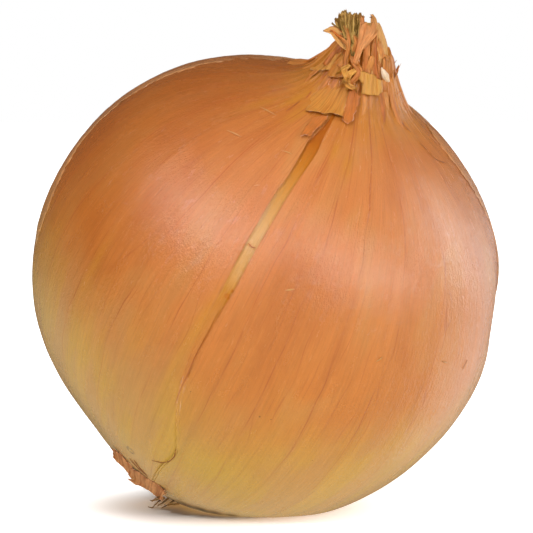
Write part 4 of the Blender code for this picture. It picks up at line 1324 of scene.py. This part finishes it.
def stage_floor():
    """A white floor that the camera sees, and that bounced light and gloss pass by."""
    mesh = bpy.data.meshes.new("floor")
    half = 2.0
    mesh.from_pydata([(-half, -half, 0), (half, -half, 0), (half, half, 0), (-half, half, 0)],
                     [], [(0, 1, 2, 3)])
    finish = Finish("pale_floor", 0.9)
    place = finish.scaled(finish.place(), (1, 1, 1), SHADE_SHIFT)
    away = finish.vector_math("LENGTH", "Value", {0: place})
    glow = finish.math("ADD", *(finish.step(away, *step) for step in FLOOR_GLOW))
    finish.wire(Base_Color=(0.86, 0.85, 0.83, 1), Emission_Color=(1, 1, 1, 1), Emission_Strength=glow)
    mesh.materials.append(finish.material)
    floor = bpy.data.objects.new("floor", mesh)
    bpy.context.scene.collection.objects.link(floor)
    floor.visible_diffuse = floor.visible_glossy = False


LOOK_AT = Vector((0.57, -1.8, 45.05)) * MM
CAMERA_DISTANCE = 0.62
CAMERA_ELEVATION = math.radians(4.5)
LENS = 226.1


def aim(thing, direction, distance):
    """Puts a camera or a light along a direction from the bulb, looking at it."""
    outward = Vector(direction).normalized()
    thing.location = LOOK_AT + outward * distance
    thing.rotation_euler = outward.to_track_quat("Z", "Y").to_euler()
    bpy.context.scene.collection.objects.link(thing)


def camera():
    data = bpy.data.cameras.new("camera")
    data.lens = LENS
    data.clip_start = 0.05
    made = bpy.data.objects.new("camera", data)
    aim(made, (0, -math.cos(CAMERA_ELEVATION), math.sin(CAMERA_ELEVATION)), CAMERA_DISTANCE)
    bpy.context.scene.camera = made


# Softboxes: direction from the bulb, distance, width, height and watts
SOFTBOXES = {
    "softbox_left": ((-0.45, -0.67, 0.58), 0.9, 0.14, 0.17, 3.2),
    "softbox_right": ((0.745, -0.64, 0.20), 0.9, 0.12, 0.15, 3.0),
    "softbox_rear_right": ((0.75, 0.62, 0.10), 0.9, 0.4, 0.3, 1.2),
    "front_fill": ((0.2, -0.95, 0.05), 1.4, 1.6, 1.2, 2.7),
    "top_fill": ((-0.15, -0.1, 1.0), 1.2, 0.8, 0.8, 8.4),
}
# Fills that light the skin and leave no reflection on it
MATT_FILLS = ("front_fill", "top_fill")
# The room is bright towards the front right and the floor, and dim at the rear left. A ramp says
# between which shares of a direction the light goes from its first strength to its second
ROOM_BRIGHT_SIDE = (0.72, -0.45, -0.53)
ROOM_RAMP = (-0.5, 0.9)
ROOM_LIGHT = (0.05, 0.4)
# What the floor throws back at the onion, warmed by its skin: in full from a little below the horizon
BELOW_RAMP = (0.0, -0.15)
BEHIND_RAMP = (0.85, 0.97)
BELOW_LIGHT = (0.99, 0.1)
BELOW_COLOUR = (1.0, 0.87, 0.55, 1)
# A bright stretch of table at the rear right, which gleams along the right edge
GLEAM_FROM = (0.69, 0.69, -0.22)
GLEAM_RAMP = (0.87, 0.99)
GLEAM = 0.8


def room_light():
    """Light from all round the onion, and white where the camera sees past it."""
    world = bpy.data.worlds.new("room")
    bpy.context.scene.world = world
    world.use_nodes = True
    graph = Graph(world.node_tree)
    direction = graph.out("ShaderNodeTexCoord", {}, "Generated")
    _, backwards, height = graph.add("ShaderNodeSeparateXYZ", {0: direction}).outputs
    seen = graph.out("ShaderNodeLightPath", {}, "Is Camera Ray")
    forwards = graph.vector_math("DOT_PRODUCT", "Value", {0: direction, 1: ROOM_BRIGHT_SIDE})
    room = graph.ramp(forwards, *ROOM_RAMP, *ROOM_LIGHT)
    below = graph.ramp(height, *BELOW_RAMP)
    thrown = graph.math("MULTIPLY", below, graph.ramp(backwards, *BEHIND_RAMP, *BELOW_LIGHT))
    rear = graph.vector_math("DOT_PRODUCT", "Value", {0: direction, 1: GLEAM_FROM})
    gleam = graph.ramp(rear, *GLEAM_RAMP)
    light = graph.math("MULTIPLY_ADD", gleam, GLEAM, graph.math("MAXIMUM", room, thrown))
    warmth = graph.math("MULTIPLY", below, graph.math("SUBTRACT", 1.0, seen))
    warmth = graph.math("SUBTRACT", warmth, gleam, use_clamp=True)
    tint = graph.out("ShaderNodeMix", {0: warmth, 6: (1, 1, 1, 1), 7: BELOW_COLOUR}, 2, data_type="RGBA")
    background = world.node_tree.nodes["Background"]
    world.node_tree.links.new(tint, background.inputs["Color"])
    world.node_tree.links.new(graph.math("MAXIMUM", light, seen), background.inputs["Strength"])


def lights():
    for name, (direction, distance, width, height, watts) in SOFTBOXES.items():
        data = bpy.data.lights.new(name, "AREA")
        data.shape = "RECTANGLE"
        data.size, data.size_y, data.energy = width, height, watts
        lamp = bpy.data.objects.new(name, data)
        lamp.visible_glossy = name not in MATT_FILLS
        aim(lamp, direction, distance)
    room_light()
    bpy.context.scene.view_settings.view_transform = "Standard"


def neck_pieces():
    olive = dried_leaf_finish("olive_leaf_ends", OLIVE_DARK, OLIVE_PALE)
    salmon = dried_leaf_finish("salmon_leaf_end", ORANGE_LEAF, LEAF_SALMON, 0.6)
    straw = dried_leaf_finish("straw_leaf_end", NECK_BROWN, PALE_STRAW, 0.6)
    outer = dried_leaf_finish("neck_outer_skin", NECK_BROWN, NECK_ORANGE, 0.5, tip_share=0.15)
    inner = dried_leaf_finish("pale_inner_skin", INNER_PALE, INNER_PALE, 0.5, tip_share=0.0)
    dress("neck_bundle_leaves", neck_bundle(), olive, "inner_leaf", "neck_leaf_bundle")
    dress("left_curl", left_curl(), straw, "outer_leaf")
    dress("neck_fan", fan_leaf(), salmon, "fan_leaf", "neck_fan_leaf")
    dress("neck_curl", curled_leaf(), straw, "outer_leaf", "neck_curled_leaf")
    dress("neck_collar_skin", neck_collar(), outer, "outer_leaf", "neck_collar")
    dress("neck_pale_fold", pale_fold(), inner, "outer_leaf")


def main():
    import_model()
    camera()
    lights()
    stage_floor()
    skin_finish = bulb_skin_finish()
    dress("bulb_skin", bulb_skin(), skin_finish, "bulb_skin", "bulb")
    neck_pieces()
    loose_skin(skin_finish)
    roots()
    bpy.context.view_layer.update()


main()
